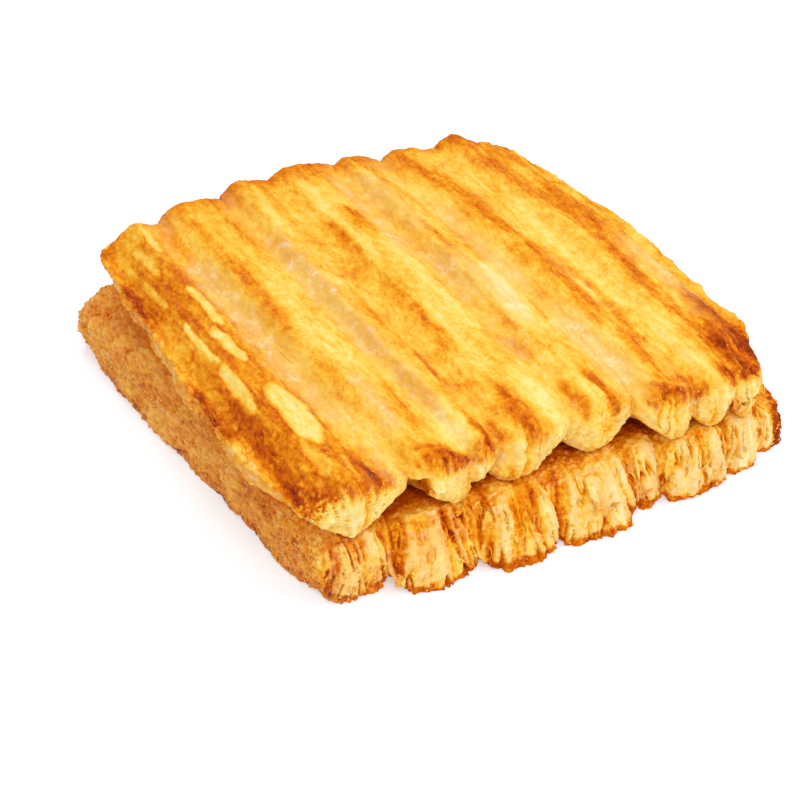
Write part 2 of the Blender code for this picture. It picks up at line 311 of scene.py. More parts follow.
UPPER_STREAKS = (
    *lines(
        Tone.TOAST,
        # left ribbon: orange-brown skin, lighter towards the back
        (6, 0.45, -45, 22, -45, -46),
        (6, 0.26, -44, 47, -44, 30),
        (3.6, 0.3, -38.6, 24, -38.6, -46),
        (1.2, 0.4, -41, 30, -41.4, 20),
        (1.1, 0.4, -38.2, 30, -38.4, 23),
        (1, 0.4, -42.6, 16, -42.4, -4),
        (1, 0.45, -42.8, -20, -41.4, -33),
        (1, 0.45, -36, -20, -36.2, -34),
        (1.3, 0.45, -38.4, -34, -38, -41),
        # second ribbon
        (1.9, 0.42, -33.6, 47, -33.6, 37),
        (1.6, 0.36, -28.8, 40, -28.6, 23),
        (2.1, 0.6, -28, 20, -28.2, 3),
        (1.6, 0.32, -27.6, -12, -27.8, -26),
        (2, 0.26, -22, 50, -21, 36),
        (1.1, 0.42, -21, -26, -20.6, -38),
        # third ribbon
        (1.2, 0.36, -10.2, 51, -10, 39),
        (1.1, 0.26, -9.6, 34, -9.6, 25),
        (0.6, 0.4, -14.6, 13.4, -12, 11.2, -10.4, 10.8),
        (1.2, 0.34, -12, -3, -12, -8),
        (1, 0.55, -11.2, -21, -10.8, -28),
        (0.8, 0.4, -9.4, -30, -8.6, -35),
        # fourth ribbon
        (1.5, 0.56, -4.6, 27, -4.4, 17),
        (1, 0.24, -5.4, 15, -8.6, 8),
        (2, 0.46, -5, 2, -5, -9),
        (1.5, 0.4, -4.6, -11, -5, -20),
        (1.9, 0.62, 1.4, 30, 1.6, 25),
        (1, 0.4, 7.4, -25, 8.2, -28.5),
        # fifth ribbon
        (1.3, 0.26, 12.6, 47, 13, 39),
        (0.9, 0.4, 11.8, 20, 12.4, 9),
        (1, 0.32, 9, -9, 9.2, -19),
        (0.8, 0.44, 17.2, -15, 17.4, -19),
        (0.9, 0.4, 16.2, 7, 16.2, 3),
        # sixth ribbon
        (2, 0.56, 21.8, 45, 23.6, 36, 25.2, 27),
        (1.8, 0.62, 25.6, 21, 26.2, 10),
        (1.4, 0.34, 23.4, 3, 23.2, -2),
        (2.2, 0.62, 27.4, 1, 27, -10, 26.6, -19),
        (1.2, 0.42, 24, -20, 24.4, -26),
        (1.3, 0.58, 30.4, -26, 29.8, -33),
        (1.5, 0.56, 28, -33, 26.8, -42),
        (0.8, 0.5, 30.6, -15, 30.6, -21),
        # seventh and eighth ribbons
        (1.4, 0.24, 33.6, 29, 33.2, 21),
        (2.7, 0.6, 36.8, 50, 37.4, 38),
        (2, 0.52, 38.2, 36, 38.8, 24),
        (1.5, 0.52, 40.8, 20, 41.2, 8),
        (4.6, 0.5, 44.8, 44, 46.4, 12),
        (1.2, 0.36, 45.2, 8, 45, 3),
        (2.2, 0.58, 43.8, -2, 42.8, -13),
        (1.6, 0.52, 41.4, -14, 41, -26),
        # rim at the back
        (3.4, 0.34, -27, 51, -18, 51),
        (3.4, 0.36, -17, 54, -8, 55),
        (3.2, 0.34, -5, 55, 6, 55),
        (3, 0.3, 10, 53, 17, 52),
        (3.2, 0.3, 22, 52, 31, 52),
    ),
    *lines(
        Tone.BURN,
        (1.6, 0.75, -48, 31, -47.6, 24),
        (1.5, 0.85, -50.6, -7, -50.2, -20),
        (2.2, 0.62, -47.2, -17, -46.8, -45),
        (3.4, 0.8, -46.6, -42, -44.4, -51),
        (2.6, 0.85, -34.8, -45, -33.4, -51),
        (2, 0.6, -42, -50, -37, -51),
        (2.7, 0.84, -22.6, -49.4, -15.4, -52),
        (1.4, 0.5, -24.4, -46, -19, -47.6),
        (1.3, 0.8, -11.8, -44.5, -11.4, -50.5),
        (1.5, 0.8, -12.6, -50.4, -15.4, -52),
        (0.9, 0.45, -9, -45, -8.6, -50),
        (2.2, 0.66, -3.4, -42.5, -2.2, -50),
        (1.1, 0.55, 8.6, -42.5, 9, -49),
        (1.1, 0.66, 14.6, -41, 15.4, -48.4),
        (1.9, 0.66, 23.4, -50.6, 33, -51.4),
        (1.5, 0.42, 25.6, -47, 32, -48),
        (3.6, 0.92, 44.6, -40.5, 45.6, -48),
        (2.8, 0.95, 40.6, -48.4, 45.4, -51.4),
        (3, 0.92, 48.8, -27, 49.8, -42),
        (2.6, 0.4, -48.6, 46, -45, 50),
        (2.2, 0.6, 35.4, 51.4, 39.8, 51),
        (1.6, 0.34, -22, 52, -18.4, 52),
        (1.6, 0.34, -13, 55, -8.6, 55),
    ),
    *lines(
        Tone.PALE,
        # left ribbon's lozenges
        (1.4, 0.6, -38, 49, -38.4, 40),
        (1.5, 0.5, -41.6, 40, -41.6, 32),
        (0.9, 0.5, -44.4, 29, -44.2, 22),
        (1.5, 0.65, -38.8, 20, -38.8, 10),
        (0.8, 0.75, -44.4, 12, -44.2, -2),
        (1.1, 0.75, -40.8, 5, -39.8, -4),
        (1.5, 0.75, -44.6, -7, -45, -18),
        (2.9, 1, -38.9, -22, -39, -29),
        (1.7, 0.46, -41.4, -35, -40.8, -42),
        (0.9, 0.6, -37, -42, -37.4, -46),
        # the other ribbons
        (2.8, 0.55, -24.4, 10, -24, -14),
        (1.7, 0.85, -16, -39.5, -15.8, -46.5),
        (1, 0.6, -14, 12, -13.6, 9),
        (1.2, 0.6, -2.6, 45, -2.4, 14),
        (1.2, 0.6, -2.2, -8, -2.2, -24),
        (2.2, 0.5, 2.4, 16, 2.2, -14),
        (2.7, 0.8, 3.2, -39.5, 3.4, -47.5),
        (3.1, 1, 15, -3, 13.6, -10, 13, -15),
        (1.4, 0.4, 17.4, 42, 17.6, 33),
        (2.6, 0.75, 20.4, -27, 20.8, -41),
        (0.8, 0.75, 29.2, -12, 29.2, -17),
        (2.2, 0.6, 34, 18, 34.2, -9, 34, -20),
        (2.4, 0.6, 35, -32, 35.6, -44),
        (1.1, 0.45, 43.2, 36, 43.4, 28),
        (2.2, 0.45, 48, -9, 47.6, -24),
        (1.8, 0.5, -31, -30, -30.4, -43),
    ),
    *lines(
        Tone.CLEAR,
        (2.6, 0.8, -33.8, 26, -33.6, 8, -34.2, -12),
        (1.6, 0.6, -33.8, -12, -32.8, -28),
        (2.2, 0.7, -16.6, 28, -17, 6, -17.2, -14),
        (1.8, 0.6, -16.4, -24, -16.2, -36),
        (1.2, 0.8, -15.2, 12, -15.4, 7),
        (1.8, 0.6, -25, -24, -25.6, -35),
        (1.5, 0.7, 5.2, 45, 5, 14),
        (2, 0.7, 8.6, 7, 8.4, -4),
        (2.4, 0.5, 11.6, 2, 12.4, -16),
        (2, 0.6, 18.6, 24, 19, -6),
        (2.8, 0.7, 20, -25, 20.6, -42),
        (2, 0.5, 10.4, 40, 11, 22),
        (2.6, 0.5, 47.8, -6, 47.8, -26),
    ),
)

UPPER_VALLEYS = (
    Valley(-32.6, -34.4, 2.9, 1.1, 0.75),
    Valley(-16.6, -18.0, 2.3, 0.8, 0.5),
    Valley(-9.6, -11.0, 1.4, 0.5, 0.15),
    Valley(-1.0, -2.4, 1.0, 0.35, 0.1),
    Valley(6.6, 7.4, 2.2, 0.7, 0.55),
    Valley(19.4, 17.6, 2.2, 0.7, 0.45),
    Valley(29.8, 29.0, 1.5, 0.5, 0.25),
    Valley(37.6, 35.0, 1.3, 0.4, 0.1),
    Valley(-42.6, -41.0, 1.1, 0.35, 0.0),
)


UPPER_RELIEF_GRAINS = {
    "ripple": Grain((3.4, 26.0, 8.0), 3, 0.55, 3.1),
    "fine": Grain((1.5, 3.8, 3.0), 3, 0.6, 8.7),
    "blister": Grain((5.0, 11.0, 6.0), 2, 0.5, 1.7),
    "pores": Grain((0.9, 1.5, 0.9), 2, 0.6, 5.5),
    "crumb": Grain((0.9, 1.1, 0.9), 2, 0.6, 57.0),
    "fluff": Grain((1.5, 1.5, 1.3), 3, 0.65, 15.0),
    "warp": Grain((6.0, 6.0, 5.0), 2, 0.5, 12.0),
}
PETAL_CREASE = Grain((2.6, 30.0, 16.0), 3, 0.55, 21.0)
PETAL_RIB = Grain((1.3, 30.0, 12.0), shift=9.0)
PETAL_SLIT = Grain((2.2, 40.0, 18.0))
LIP_GRAINS = {
    "wave": Grain((1.0, 9.0, 9.0), 2, 0.5, 41.0),
    "jag": Grain((1.0, 2.4, 3.0), 3, 0.6, 47.0),
}

UPPER_RELIEF = {
    "top": recipe(-0.3, ripple=0.36, blister=0.4, crumb=0.1),
    "top_fine": recipe(0.0, fine=0.28, pores=-0.18),
    "roughness": recipe(0.65, left=0.8, right=0.3),
    "petal": recipe(0.0, crease=0.5, rib=0.12, slit=-0.36, fluff=0.4, crumb=0.22),
    "rest": recipe(0.0, blister=0.3, fine=0.26, crumb=0.16),
    "lip": recipe(0.0, wave=1.3, jag=0.6, crumb=0.25),
    "right": recipe(0.0, swell=1.4, fine=0.5),
}

UPPER_BAKE_GRAINS = {
    "mottle": Grain((2.1, 3.4, 2.1), 3, 0.6, 63.0),
    "vein": Grain((3.6, 13.0, 6.0), 2, 0.5, 65.0),
    "long_streak": Grain((1.9, 21.0, 8.0), 4, 0.6, 61.0),
    "short_streak": Grain((1.1, 3.0, 3.0), 3, 0.6, 67.0),
    "cloud": Grain((8.0, 15.0, 9.0), 2, 0.5, 71.0),
    "grit": Grain((0.8, 1.2, 0.8), 2, 0.6, 73.0),
    "leaf": Grain((1.4, 14.0, 7.0), 3, 0.6, 91.0),
    # how streaks stray along X and Y, the pale and burnt ones calmly
    "sway_x": Grain((3.0, 7.0, 6.0), 3, 0.6, 81.0),
    "sway_y": Grain((1.8, 6.0, 6.0), 3, 0.6, 87.0),
    "calm_x": Grain((4.0, 9.0, 6.0), 2, 0.5, 83.0),
    "calm_y": Grain((5.0, 9.0, 6.0), 2, 0.5, 89.0),
}

UPPER_BAKE = {
    "top": recipe(0.4, long_streak=0.12, short_streak=0.07, cloud=0.1, mottle=0.11, grit=0.06),
    "fray": recipe(1.0, short_streak=0.4, long_streak=0.4, grit=0.12),
    # white turns the strongest pale streaks whiter, a painted highlight on pale dough
    "lozenge": recipe(0.16, left=0.05, white=-1.0, short_streak=0.12, long_streak=0.12, mottle=0.06),
    "rim_spread": recipe(1.0, cloud=0.5, short_streak=0.4),
    # a negative weight on dent, the relief's height, paints shade into a petal's dents
    "petal": recipe(0.22, foot=0.16, leaf=0.16, cloud=0.1, grit=0.05, dent=-0.32, flank=0.16),
    "crest_edge": recipe(0.0, short_streak=0.9, mottle=0.6),
    "back": recipe(0.68, cloud=0.1, grit=0.14, short_streak=0.1),
    "under": recipe(0.5, cloud=0.08),
    # painted shade deep in the gaps beside the petals
    "gap": recipe(0.86, grit=0.1),
    "lip": recipe(0.6, short_streak=0.16, grit=0.12),
    "right": recipe(0.66, cloud=0.12, grit=0.12),
    "gloss": recipe(0.0, clear=0.9, pale=0.16, mottle=0.4),
}

LOWER_RELIEF_GRAINS = {
    "flake": Grain((1.6, 1.6, 1.2), 3, 0.6, 17.0),
    "crumb": Grain((0.8, 0.8, 0.8), 2, 0.6, 57.0),
    "lump": Grain((5.0, 7.0, 5.0), 2, 0.5, 23.0),
    "ragged": Grain((2.2, 2.2, 9.0), 2, 0.6, 29.0),
}
SIDE_GRAINS = {
    "grain": Grain((1.3, 1.3, 1.3), 3, 0.7, 33.0),
    "pit": Grain((1.0, 1.0, 1.0), 2, 0.6, 37.0),
}
FAN_SWAY = Grain((2.5, 3.0, 2.5), 2, 0.5, 11.0)
FAN_SLIT = Grain((2.1, 30.0, 18.0))
FAN_BREAK = Grain((3.0, 9.0, 4.0), 2, 0.5, 35.0)
FAN_RIB = Grain((1.1, 30.0, 18.0), 2, 0.6)
FAN_LOBE = Grain((4.5, 20.0, 20.0), 2, 0.5, 5.0)
FAN_LEAF = Grain((1.1, 24.0, 12.0), 3, 0.6, 45.0)

LOWER_RELIEF = {
    "ribs": recipe(0.0, rib=0.54, slit=-0.85),
    "flakes": recipe(0.0, flake=0.34, crumb=0.26, notch=-0.6),
    "rest": recipe(0.0, lump=0.4, flake=0.22, crumb=0.1),
    "ragged_foot": recipe(0.5, ragged=0.9),
    "side": recipe(0.0, grain=0.55, lump=0.35, pit=-0.35),
}

LOWER_BAKE_GRAINS = {
    "cloud": Grain((7.0, 9.0, 6.0), 2, 0.5, 41.0),
    "grit": Grain((0.9, 0.9, 0.9), 3, 0.7, 43.0),
}

LOWER_BAKE = {
    # a negative weight on dent, the relief's height, paints shade into dents and pits; slit paints shade into
    # the fans' slits
    "shoulder": recipe(0.46, cloud=0.16, leaf=0.14, grit=0.08, dent=-0.2, notch=0.06),
    "fan": recipe(
        0.3, near=0.11, far=-0.05, leaf=0.15, cloud=0.1, grit=0.07, dent=-0.5, slit=0.24, notch=0.05,
        fold=0.12,
    ),
    "fan_top": recipe(12.6, cloud=1.6),
    "foot_top": recipe(2.1, cloud=1.0, grit=0.6),
    "foot": recipe(0.84, grit=0.16),
    "shaded_caramel": recipe(0.8, cloud=0.08),
    "back": recipe(0.42, leaf=0.12, dent=-0.2),
    # dark caramel under the upper slab, deepened by painted shade
    "under": recipe(0.8, grit=0.08),
    "sugar": recipe(0.6, grit=0.15, cloud=0.08, dent=-0.18, low=0.14),
    "sugar_clear": recipe(0.32, grit=-0.3),
    "right": recipe(0.72, edge=0.18, cloud=0.1, grit=0.14, dent=-0.16),
    "corner": recipe(0.92, leaf=0.1),
    "clearness": recipe(0.78, far=0.08),
}


class Way(Enum):
    """Directions that a skin can face, each an axis and a sign."""

    LEFT = (0, -1.0)
    RIGHT = (0, 1.0)
    FRONT = (1, -1.0)
    BACK = (1, 1.0)
    UNDER = (2, -1.0)
    TOP = (2, 1.0)


@dataclass(frozen=True)
class Skin:
    """A ribbon's surface on its grid: place in plan, normal, section's across and up, and its relief."""

    place: Array
    normal: Array
    across: Array
    up: Array
    dent: Array

    @property
    def x(self) -> Array:
        """Millimetres to the right."""
        return self.place[..., 0]

    @property
    def y(self) -> Array:
        """Millimetres towards the back."""
        return self.place[..., 1]

    @property
    def z(self) -> Array:
        """Millimetres up."""
        return self.place[..., 2]

    def faces(self, way: Way, low: float, high: float) -> Array:
        """0 where the normal's part along a direction is below low, 1 where it is above high."""
        axis, sign = way.value
        return smooth_step(sign * self.normal[..., axis], low, high)


@dataclass
class Slab:
    """One baked slab: seams run from the left side to the right, ribbons lie between them."""

    name: str
    slot: Slot
    seams_front: tuple
    seams_back: tuple
    bulge_left: float
    bulge_right: float
    reach_front: tuple
    reach_back: tuple
    crest_front: tuple
    crest_middle: tuple
    crest_back: tuple
    belly: float
    flare: tuple
    droop: tuple
    lift: tuple
    shingle: float
    back_lift: tuple
    plan_nose: float
    centre: tuple
    turn: float
    seed: int
    sag: tuple = (0.0,) * 8
    keels: tuple = (0.0,) * 8
    tip_shift: tuple = (0.0,) * 8
    top_nose: float = 3.0
    edge_nose: float = 2.4
    top_power: float = 4.5
    step_across: float = 0.36
    step_up: float = 0.38
    step_along: float = 0.5
    step_hidden: float = 0.5
    square_at: tuple = (2.0, 14.0)
    fine_front: float = 18.0
    fine_back: float = 12.0
    cap_front: int = 30
    cap_back: int = 20
    floor: float = -1e3
    # millimetres before the middle between which the front edge begins
    front_edge: tuple = (40.0, 46.0)
    noise: DoughNoise = field(init=False)
    surface: list = field(init=False, default_factory=list)

    def __post_init__(self) -> None:
        """Seeds the slab's noise."""
        self.noise = DoughNoise(self.seed)

    def nose(self, distance: Array, length: float) -> Array:
        """Share of the full section at this distance from a tip: (1 - (1 - d/L)^2.3)^(1/2.3)."""
        short = np.clip(1.0 - distance / length, 0.0, 1.0)
        return (1.0 - short**NOSE_POWER) ** (1.0 / NOSE_POWER)

    @property
    def last(self) -> int:
        """Number of the ribbon at the right."""
        return len(self.reach_front) - 1

    def seam_x(self, seam: int, along: Array) -> Array:
        """x of a seam: the line between its ends, plus its swell and a slow sine, both gone at the ends."""
        straight = blend(self.seams_front[seam], self.seams_back[seam], (along + 1.0) / 2.0)
        across = seam / (len(self.seams_front) - 1)
        swell = self.bulge_right * across**3 - self.bulge_left * (1.0 - across) ** 3
        stray = WANDER * np.sin(WANDER_PACE * along + WANDER_STEP * seam + self.centre[0])
        return straight + (swell * (1.0 - SWELL_SKEW * along) + stray) * (1.0 - along * along)

    def crest_z(self, ribbon: int, along: Array) -> Array:
        """Top of a ribbon: its middle height, plus the rise to each end's height times along squared."""
        end = np.where(along < 0.0, self.crest_front[ribbon], self.crest_back[ribbon])
        return self.crest_middle[ribbon] + (end - self.crest_middle[ribbon]) * along * along

    def crest_over(self, ribbon: int, x: Array, along: Array) -> Array:
        """Top at x: a straight line in x between the crests of this ribbon's middle and the next one's."""
        top = self.crest_z(ribbon, along) + 0.0 * x
        middle = (self.seam_x(ribbon, along) + self.seam_x(ribbon + 1, along)) / 2.0
        for step in (-1, 1):
            other = ribbon + step
            if not 0 <= other <= self.last:
                continue
            beyond = (self.seam_x(other, along) + self.seam_x(other + 1, along)) / 2.0
            share = np.clip((x - middle) / (beyond - middle), 0.0, 1.0)
            top = top + (self.crest_z(other, along) - self.crest_z(ribbon, along)) * share
        return top

    def section_power(self, from_tip: Array, up: Array) -> Array:
        """Squareness of the section: nearly square in the middle, rounder at the tips, most so low down."""
        tip = blend(LOW_TIP_POWER, self.top_power, smooth_step(up, -0.2, 0.9))
        middle = blend(*MIDDLE_POWERS, smooth_step(up, 0.0, 0.9))
        return blend(tip, middle, smooth_step(from_tip, *self.square_at))

    def corner_power(self, ribbon: int, power: Array, across: Array, up: Array) -> Array:
        """Squareness with the slab's own rounded corners taken in."""
        return power

    def hollow(self, x: Array, y: Array) -> Array:
        """Depth of the long hollows in the slab's top, in its own frame."""
        return 0.0 * x

    def off_middle(self, ribbon: int, x: Array) -> Array:
        """Distance in plan from the middle of a ribbon's front end, 1 at its seams."""
        left, right = self.seams_front[ribbon], self.seams_front[ribbon + 1]
        return np.abs(x - self.front_middle(ribbon)) / ((right - left) / 2.0)

    def front_middle(self, ribbon: int) -> float:
        """x in plan of the middle of a ribbon's front end, which the slab's turn moves to the right."""
        shift = self.reach_front[ribbon] * math.sin(math.radians(self.turn))
        return (self.seams_front[ribbon] + self.seams_front[ribbon + 1]) / 2.0 + self.centre[0] + shift

    def cap_rows(self, count: int) -> Array:
        """Distance from a tip of each ring of a round end: L (1 - cos(t)^(2/2.3)) for even t.

        With it both the ring's size and its place grow evenly.
        """
        turn = np.linspace(NOSE_START, np.pi / 2, count)
        return self.plan_nose * (1.0 - np.cos(turn) ** (2.0 / NOSE_POWER))

    def ring_rows(self, ribbon: int) -> Array:
        """y of each ring of a ribbon: front cap, fine stretch, middle stretch, fine stretch, back cap."""
        front, back = -self.reach_front[ribbon], self.reach_back[ribbon]
        first = front + self.cap_rows(self.cap_front)
        last = (back - self.cap_rows(self.cap_back))[::-1]
        stops = (first[-1], first[-1] + self.fine_front, last[0] - self.fine_back, last[0])
        steps = (self.step_along, self.step_hidden, self.step_along)
        parts = [first]
        for start, stop, step in zip(stops[:-1], stops[1:], steps):
            count = max(2, int(round((stop - start) / step)))
            parts.append(np.linspace(start, stop, count + 1)[1:])
        return np.concatenate([*parts, last[1:]])

    def ring_columns(self, ribbon: int) -> tuple:
        """Points round the unit square, evenly spaced in millimetres on the ribbon's sides.

        Returns:
            across and up of each column, on the square's edge.
        """
        width = self.seams_front[ribbon + 1] - self.seams_front[ribbon] + 2.0 * SEAM_OVERLAP
        height = self.crest_middle[ribbon] - self.belly
        wide = np.linspace(-1.0, 1.0, max(10, int(width / self.step_across)) + 1)
        tall = np.linspace(-1.0, 1.0, max(10, int(height / self.step_up)) + 1)
        end, edge = np.ones(len(tall) - 1), np.ones(len(wide) - 1)
        across = np.concatenate([wide[:-1], end, wide[:0:-1], -end])
        up = np.concatenate([edge, tall[:0:-1], -edge, tall[:-1]])
        return across, up

    def bare_points(self, ribbon: int, y: Array, across: Array, up: Array) -> tuple:
        """Smooth surface of a ribbon.

        The unit square's edge point is pulled onto the curve |across|^p + |up|^p = 1, stretched by the
        ribbon's half width and half height at that y, and then drooped at the slab's sides and leaned at its
        front. Near the front tip the width left low down is 1 - keel t^1.1, with t from 0 near mid height to
        1 at the foot. Past a seam the top dips by the square of the distance, so that neighbours meet in one
        smooth line, and the corner of the section sinks well under the neighbour.

        Args:
            ribbon: which ribbon, from the left.
            y: y of each ring, as a column.
            across: square's across of each column, as a row.
            up: square's up of each column, as a row.
        Returns:
            points (rings, columns, 3) in the slab's own frame, then the section's across and up.
        """
        front, back = -self.reach_front[ribbon], self.reach_back[ribbon]
        along = 2.0 * (y - front) / (back - front) - 1.0
        from_tip = np.clip(np.minimum(y - front, back - y), 0.0, None)
        power = self.corner_power(ribbon, self.section_power(from_tip, up), across, up)
        pull = (np.abs(across) ** power + np.abs(up) ** power) ** (-1.0 / power)
        across, up = across * pull, up * pull
        left, right = self.seam_x(ribbon, along), self.seam_x(ribbon + 1, along)
        belly = self.belly + self.back_lift[ribbon] * smooth_step(along, *LIFT_REACH)
        high = smooth_step(up, -0.3, 0.9)
        plan = blend(self.nose(from_tip, self.plan_nose), self.nose(from_tip, self.top_nose), high)
        half_width = ((right - left) / 2.0 + SEAM_OVERLAP) * plan
        tall = blend(self.nose(from_tip, SIDE_NOSE), self.nose(from_tip, self.edge_nose), high)
        low = smooth_step(-along, *KEEL_REACH) * np.clip((KEEL_TOP - up) / (1.0 + KEEL_TOP), 0.0, 1.0)
        swing = self.tip_shift[ribbon] * low + across * (1.0 - self.keels[ribbon] * low**KEEL_POWER)
        x = (left + right) / 2.0 + half_width * swing
        top = self.crest_over(ribbon, x, along)
        z = (top + belly) / 2.0 + (top - belly) / 2.0 * tall * up
        z = z - self.side_drop(ribbon, x, y, along, up) * up
        z = z - self.sag[ribbon] * smooth_step(-along, *SAG_REACH) * (1.0 - up * tall) / 2.0
        lean = self.flare[ribbon] * smooth_step(-along, *FLARE_REACH) * (1.0 + up * tall) / 2.0
        return np.stack([x, y + lean, z], axis=-1), across, up

    def side_drop(self, ribbon: int, x: Array, y: Array, along: Array, up: Array) -> Array:
        """How far the top falls at the slab's sides, seams and hollows, or the underside rises there."""
        left, right = self.seam_x(ribbon, along), self.seam_x(ribbon + 1, along)
        at_left = 1.0 - smooth_step(x - self.seam_x(0, along), 0.0, EDGE_WIDTH)
        at_right = 1.0 - smooth_step(self.seam_x(self.last + 1, along) - x, 0.0, EDGE_WIDTH)
        share = np.clip((x - left) / (right - left), 0.0, 1.0)
        over_left = (left - x) * (ribbon > 0)
        over_right = (x - right) * (ribbon < self.last)
        beyond = np.clip(np.maximum(over_left, over_right), 0.0, None)
        ridge = smooth_step(share, *RIDGE_RISE) - smooth_step(share, *RIDGE_FALL) - 0.5
        fall = self.droop[0] * at_left + self.droop[1] * at_right - self.shingle * ridge
        fall = fall + SEAM_DIP * beyond**2 + CORNER_DIP * smooth_step(beyond, CORNER_START, SEAM_OVERLAP)
        fall = fall + self.hollow(x, y)
        rise = self.lift[0] * at_left + self.lift[1] * at_right
        return np.where(up > 0.0, fall, rise)

    def plan(self, points: Array) -> Array:
        """Points of the slab's own frame in the pastry's plan: turned about Z and moved to its centre."""
        angle = math.radians(self.turn)
        c, s = math.cos(angle), math.sin(angle)
        x = points[..., 0] * c - points[..., 1] * s + self.centre[0]
        y = points[..., 0] * s + points[..., 1] * c + self.centre[1]
        return np.stack([x, y, points[..., 2]], axis=-1)

    def relief(self, ribbon: int, skin: Skin) -> Array:
        """How far each point moves out along its normal, in millimetres."""
        raise NotImplementedError

    def bake(self, ribbon: int, skin: Skin) -> dict:
        """Toast, clear, and gloss of each point, from 0 to 1."""
        raise NotImplementedError

    def build(self, finish: Material) -> None:
        """Builds each ribbon as one closed object, from the left, with the slab's material."""
        for ribbon in range(self.last + 1):
            y = self.ring_rows(ribbon)[:, None]
            across, up = self.ring_columns(ribbon)
            points, across, up = self.bare_points(ribbon, y, across[None, :], up[None, :])
            place = self.plan(points)
            bare = Skin(place, grid_normals(place), across, up, np.zeros(up.shape))
            dent = self.relief(ribbon, bare)
            place = place + bare.normal * dent[..., None]
            place[..., 2] = np.maximum(place[..., 2], self.floor)
            skin = Skin(place, grid_normals(place), across, up, dent)
            obj = tube_object(f"{self.name}_ribbon_{ribbon + 1}", place, self.bake(ribbon, skin))
            self.surface.append(skin)
            seat(obj, finish, "root", self.slot, self.name)


def grid_normals(points: Array) -> Array:
    """Outward unit normals of a tube's grid: the cross product of its two central differences.

    Args:
        points: (rings, columns, 3), the columns closing on themselves.
    Returns:
        unit vectors of the same shape.
    """
    down = np.gradient(points, axis=0)
    side = np.roll(points, -1, axis=1) - np.roll(points, 1, axis=1)
    normal = np.cross(down, side)
    normal /= np.linalg.norm(normal, axis=-1, keepdims=True) + 1e-12
    middle = points.mean(axis=1, keepdims=True)
    outward = np.sign(np.sum(normal * (points - middle), axis=-1).mean())
    return normal * outward


def tube_faces(rings: int, columns: int) -> tuple:
    """Corner indices of a closed tube with a pole at each end.

    Returns:
        quads (n, 4) between rings, and triangles (m, 3) at the two poles, which are the last two vertices.
    """
    ring = np.arange(rings - 1)[:, None] * columns
    column = np.arange(columns)[None, :]
    following = (column + 1) % columns
    corners = (ring + column, ring + following, ring + columns + following, ring + columns + column)
    quads = np.stack(corners, axis=-1)
    pole, last = rings * columns, (rings - 1) * columns
    near = np.stack([np.full(columns, pole), following[0], column[0]], axis=-1)
    far = np.stack([np.full(columns, pole + 1), last + column[0], last + following[0]], axis=-1)
    return quads.reshape(-1, 4), np.concatenate([near, far])


def mesh_object(name: str, points: Array, quads: Array, triangles: Array, tones: dict) -> Object:
    """A mesh object from arrays, its faces turned outwards, in the frame's metres.

    Args:
        name: of the object.
        points: (n, 3) in the pastry's plan, in millimetres.
        quads: (m, 4) corner indices.
        triangles: (k, 3) corner indices.
        tones: number per point for each named attribute.
    Returns:
        the new object, at the origin.
    """
    a, b, c, d = (points[quads[:, i]] for i in range(4))
    volume = np.einsum("ij,ij->", a, np.cross(b, c)) + np.einsum("ij,ij->", a, np.cross(c, d))
    a, b, c = (points[triangles[:, i]] for i in range(3))
    volume += np.einsum("ij,ij->", a, np.cross(b, c))
    if volume < 0.0:
        quads, triangles = quads[:, ::-1], triangles[:, ::-1]
    low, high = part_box("lower_pastry")
    shift = (low + high) / 2.0
    metres = points * MM
    metres = metres + np.array([shift.x - PLAN_MIDDLE[0] * MM, shift.y - PLAN_MIDDLE[1] * MM, 0.0])
    mesh = bpy.data.meshes.new(name)
    mesh.vertices.add(len(metres))
    mesh.vertices.foreach_set("co", metres.astype(np.float32).ravel())
    corners = np.concatenate([quads.ravel(), triangles.ravel()]).astype(np.int32)
    starts = np.concatenate([np.arange(len(quads)) * 4, len(quads) * 4 + np.arange(len(triangles)) * 3])
    mesh.loops.add(len(corners))
    mesh.loops.foreach_set("vertex_index", corners)
    mesh.polygons.add(len(starts))
    mesh.polygons.foreach_set("loop_start", starts.astype(np.int32))
    mesh.update(calc_edges=True)
    for tone, values in tones.items():
        layer = mesh.attributes.new(tone, "FLOAT", "POINT")
        layer.data.foreach_set("value", np.ascontiguousarray(values, np.float32).ravel())
    mesh.shade_smooth()
    obj = bpy.data.objects.new(name, mesh)
    bpy.context.scene.collection.objects.link(obj)
    return obj


def tube_object(name: str, points: Array, tones: dict) -> Object:
    """A closed tube from a grid of points; each pole takes the mean place and tones of its ring."""
    rings, columns = points.shape[:2]
    quads, triangles = tube_faces(rings, columns)
    whole = {
        tone: np.concatenate([values.ravel(), [values[0].mean(), values[-1].mean()]])
        for tone, values in tones.items()
    }
    poles = np.stack([points[0].mean(axis=0), points[-1].mean(axis=0)])
    return mesh_object(name, np.concatenate([points.reshape(-1, 3), poles]), quads, triangles, whole)


def seat(obj: Object, finish: Material, body: str, slot: Slot, *nodes: str) -> None:
    """Gives a piece its finish and its body, hides the model's parts that it stands for, and reports it."""
    obj.data.materials.append(finish)
    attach(obj, body)
    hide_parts(*nodes)
    LOG.info("%s: %d faces", obj.name, len(obj.data.polygons))


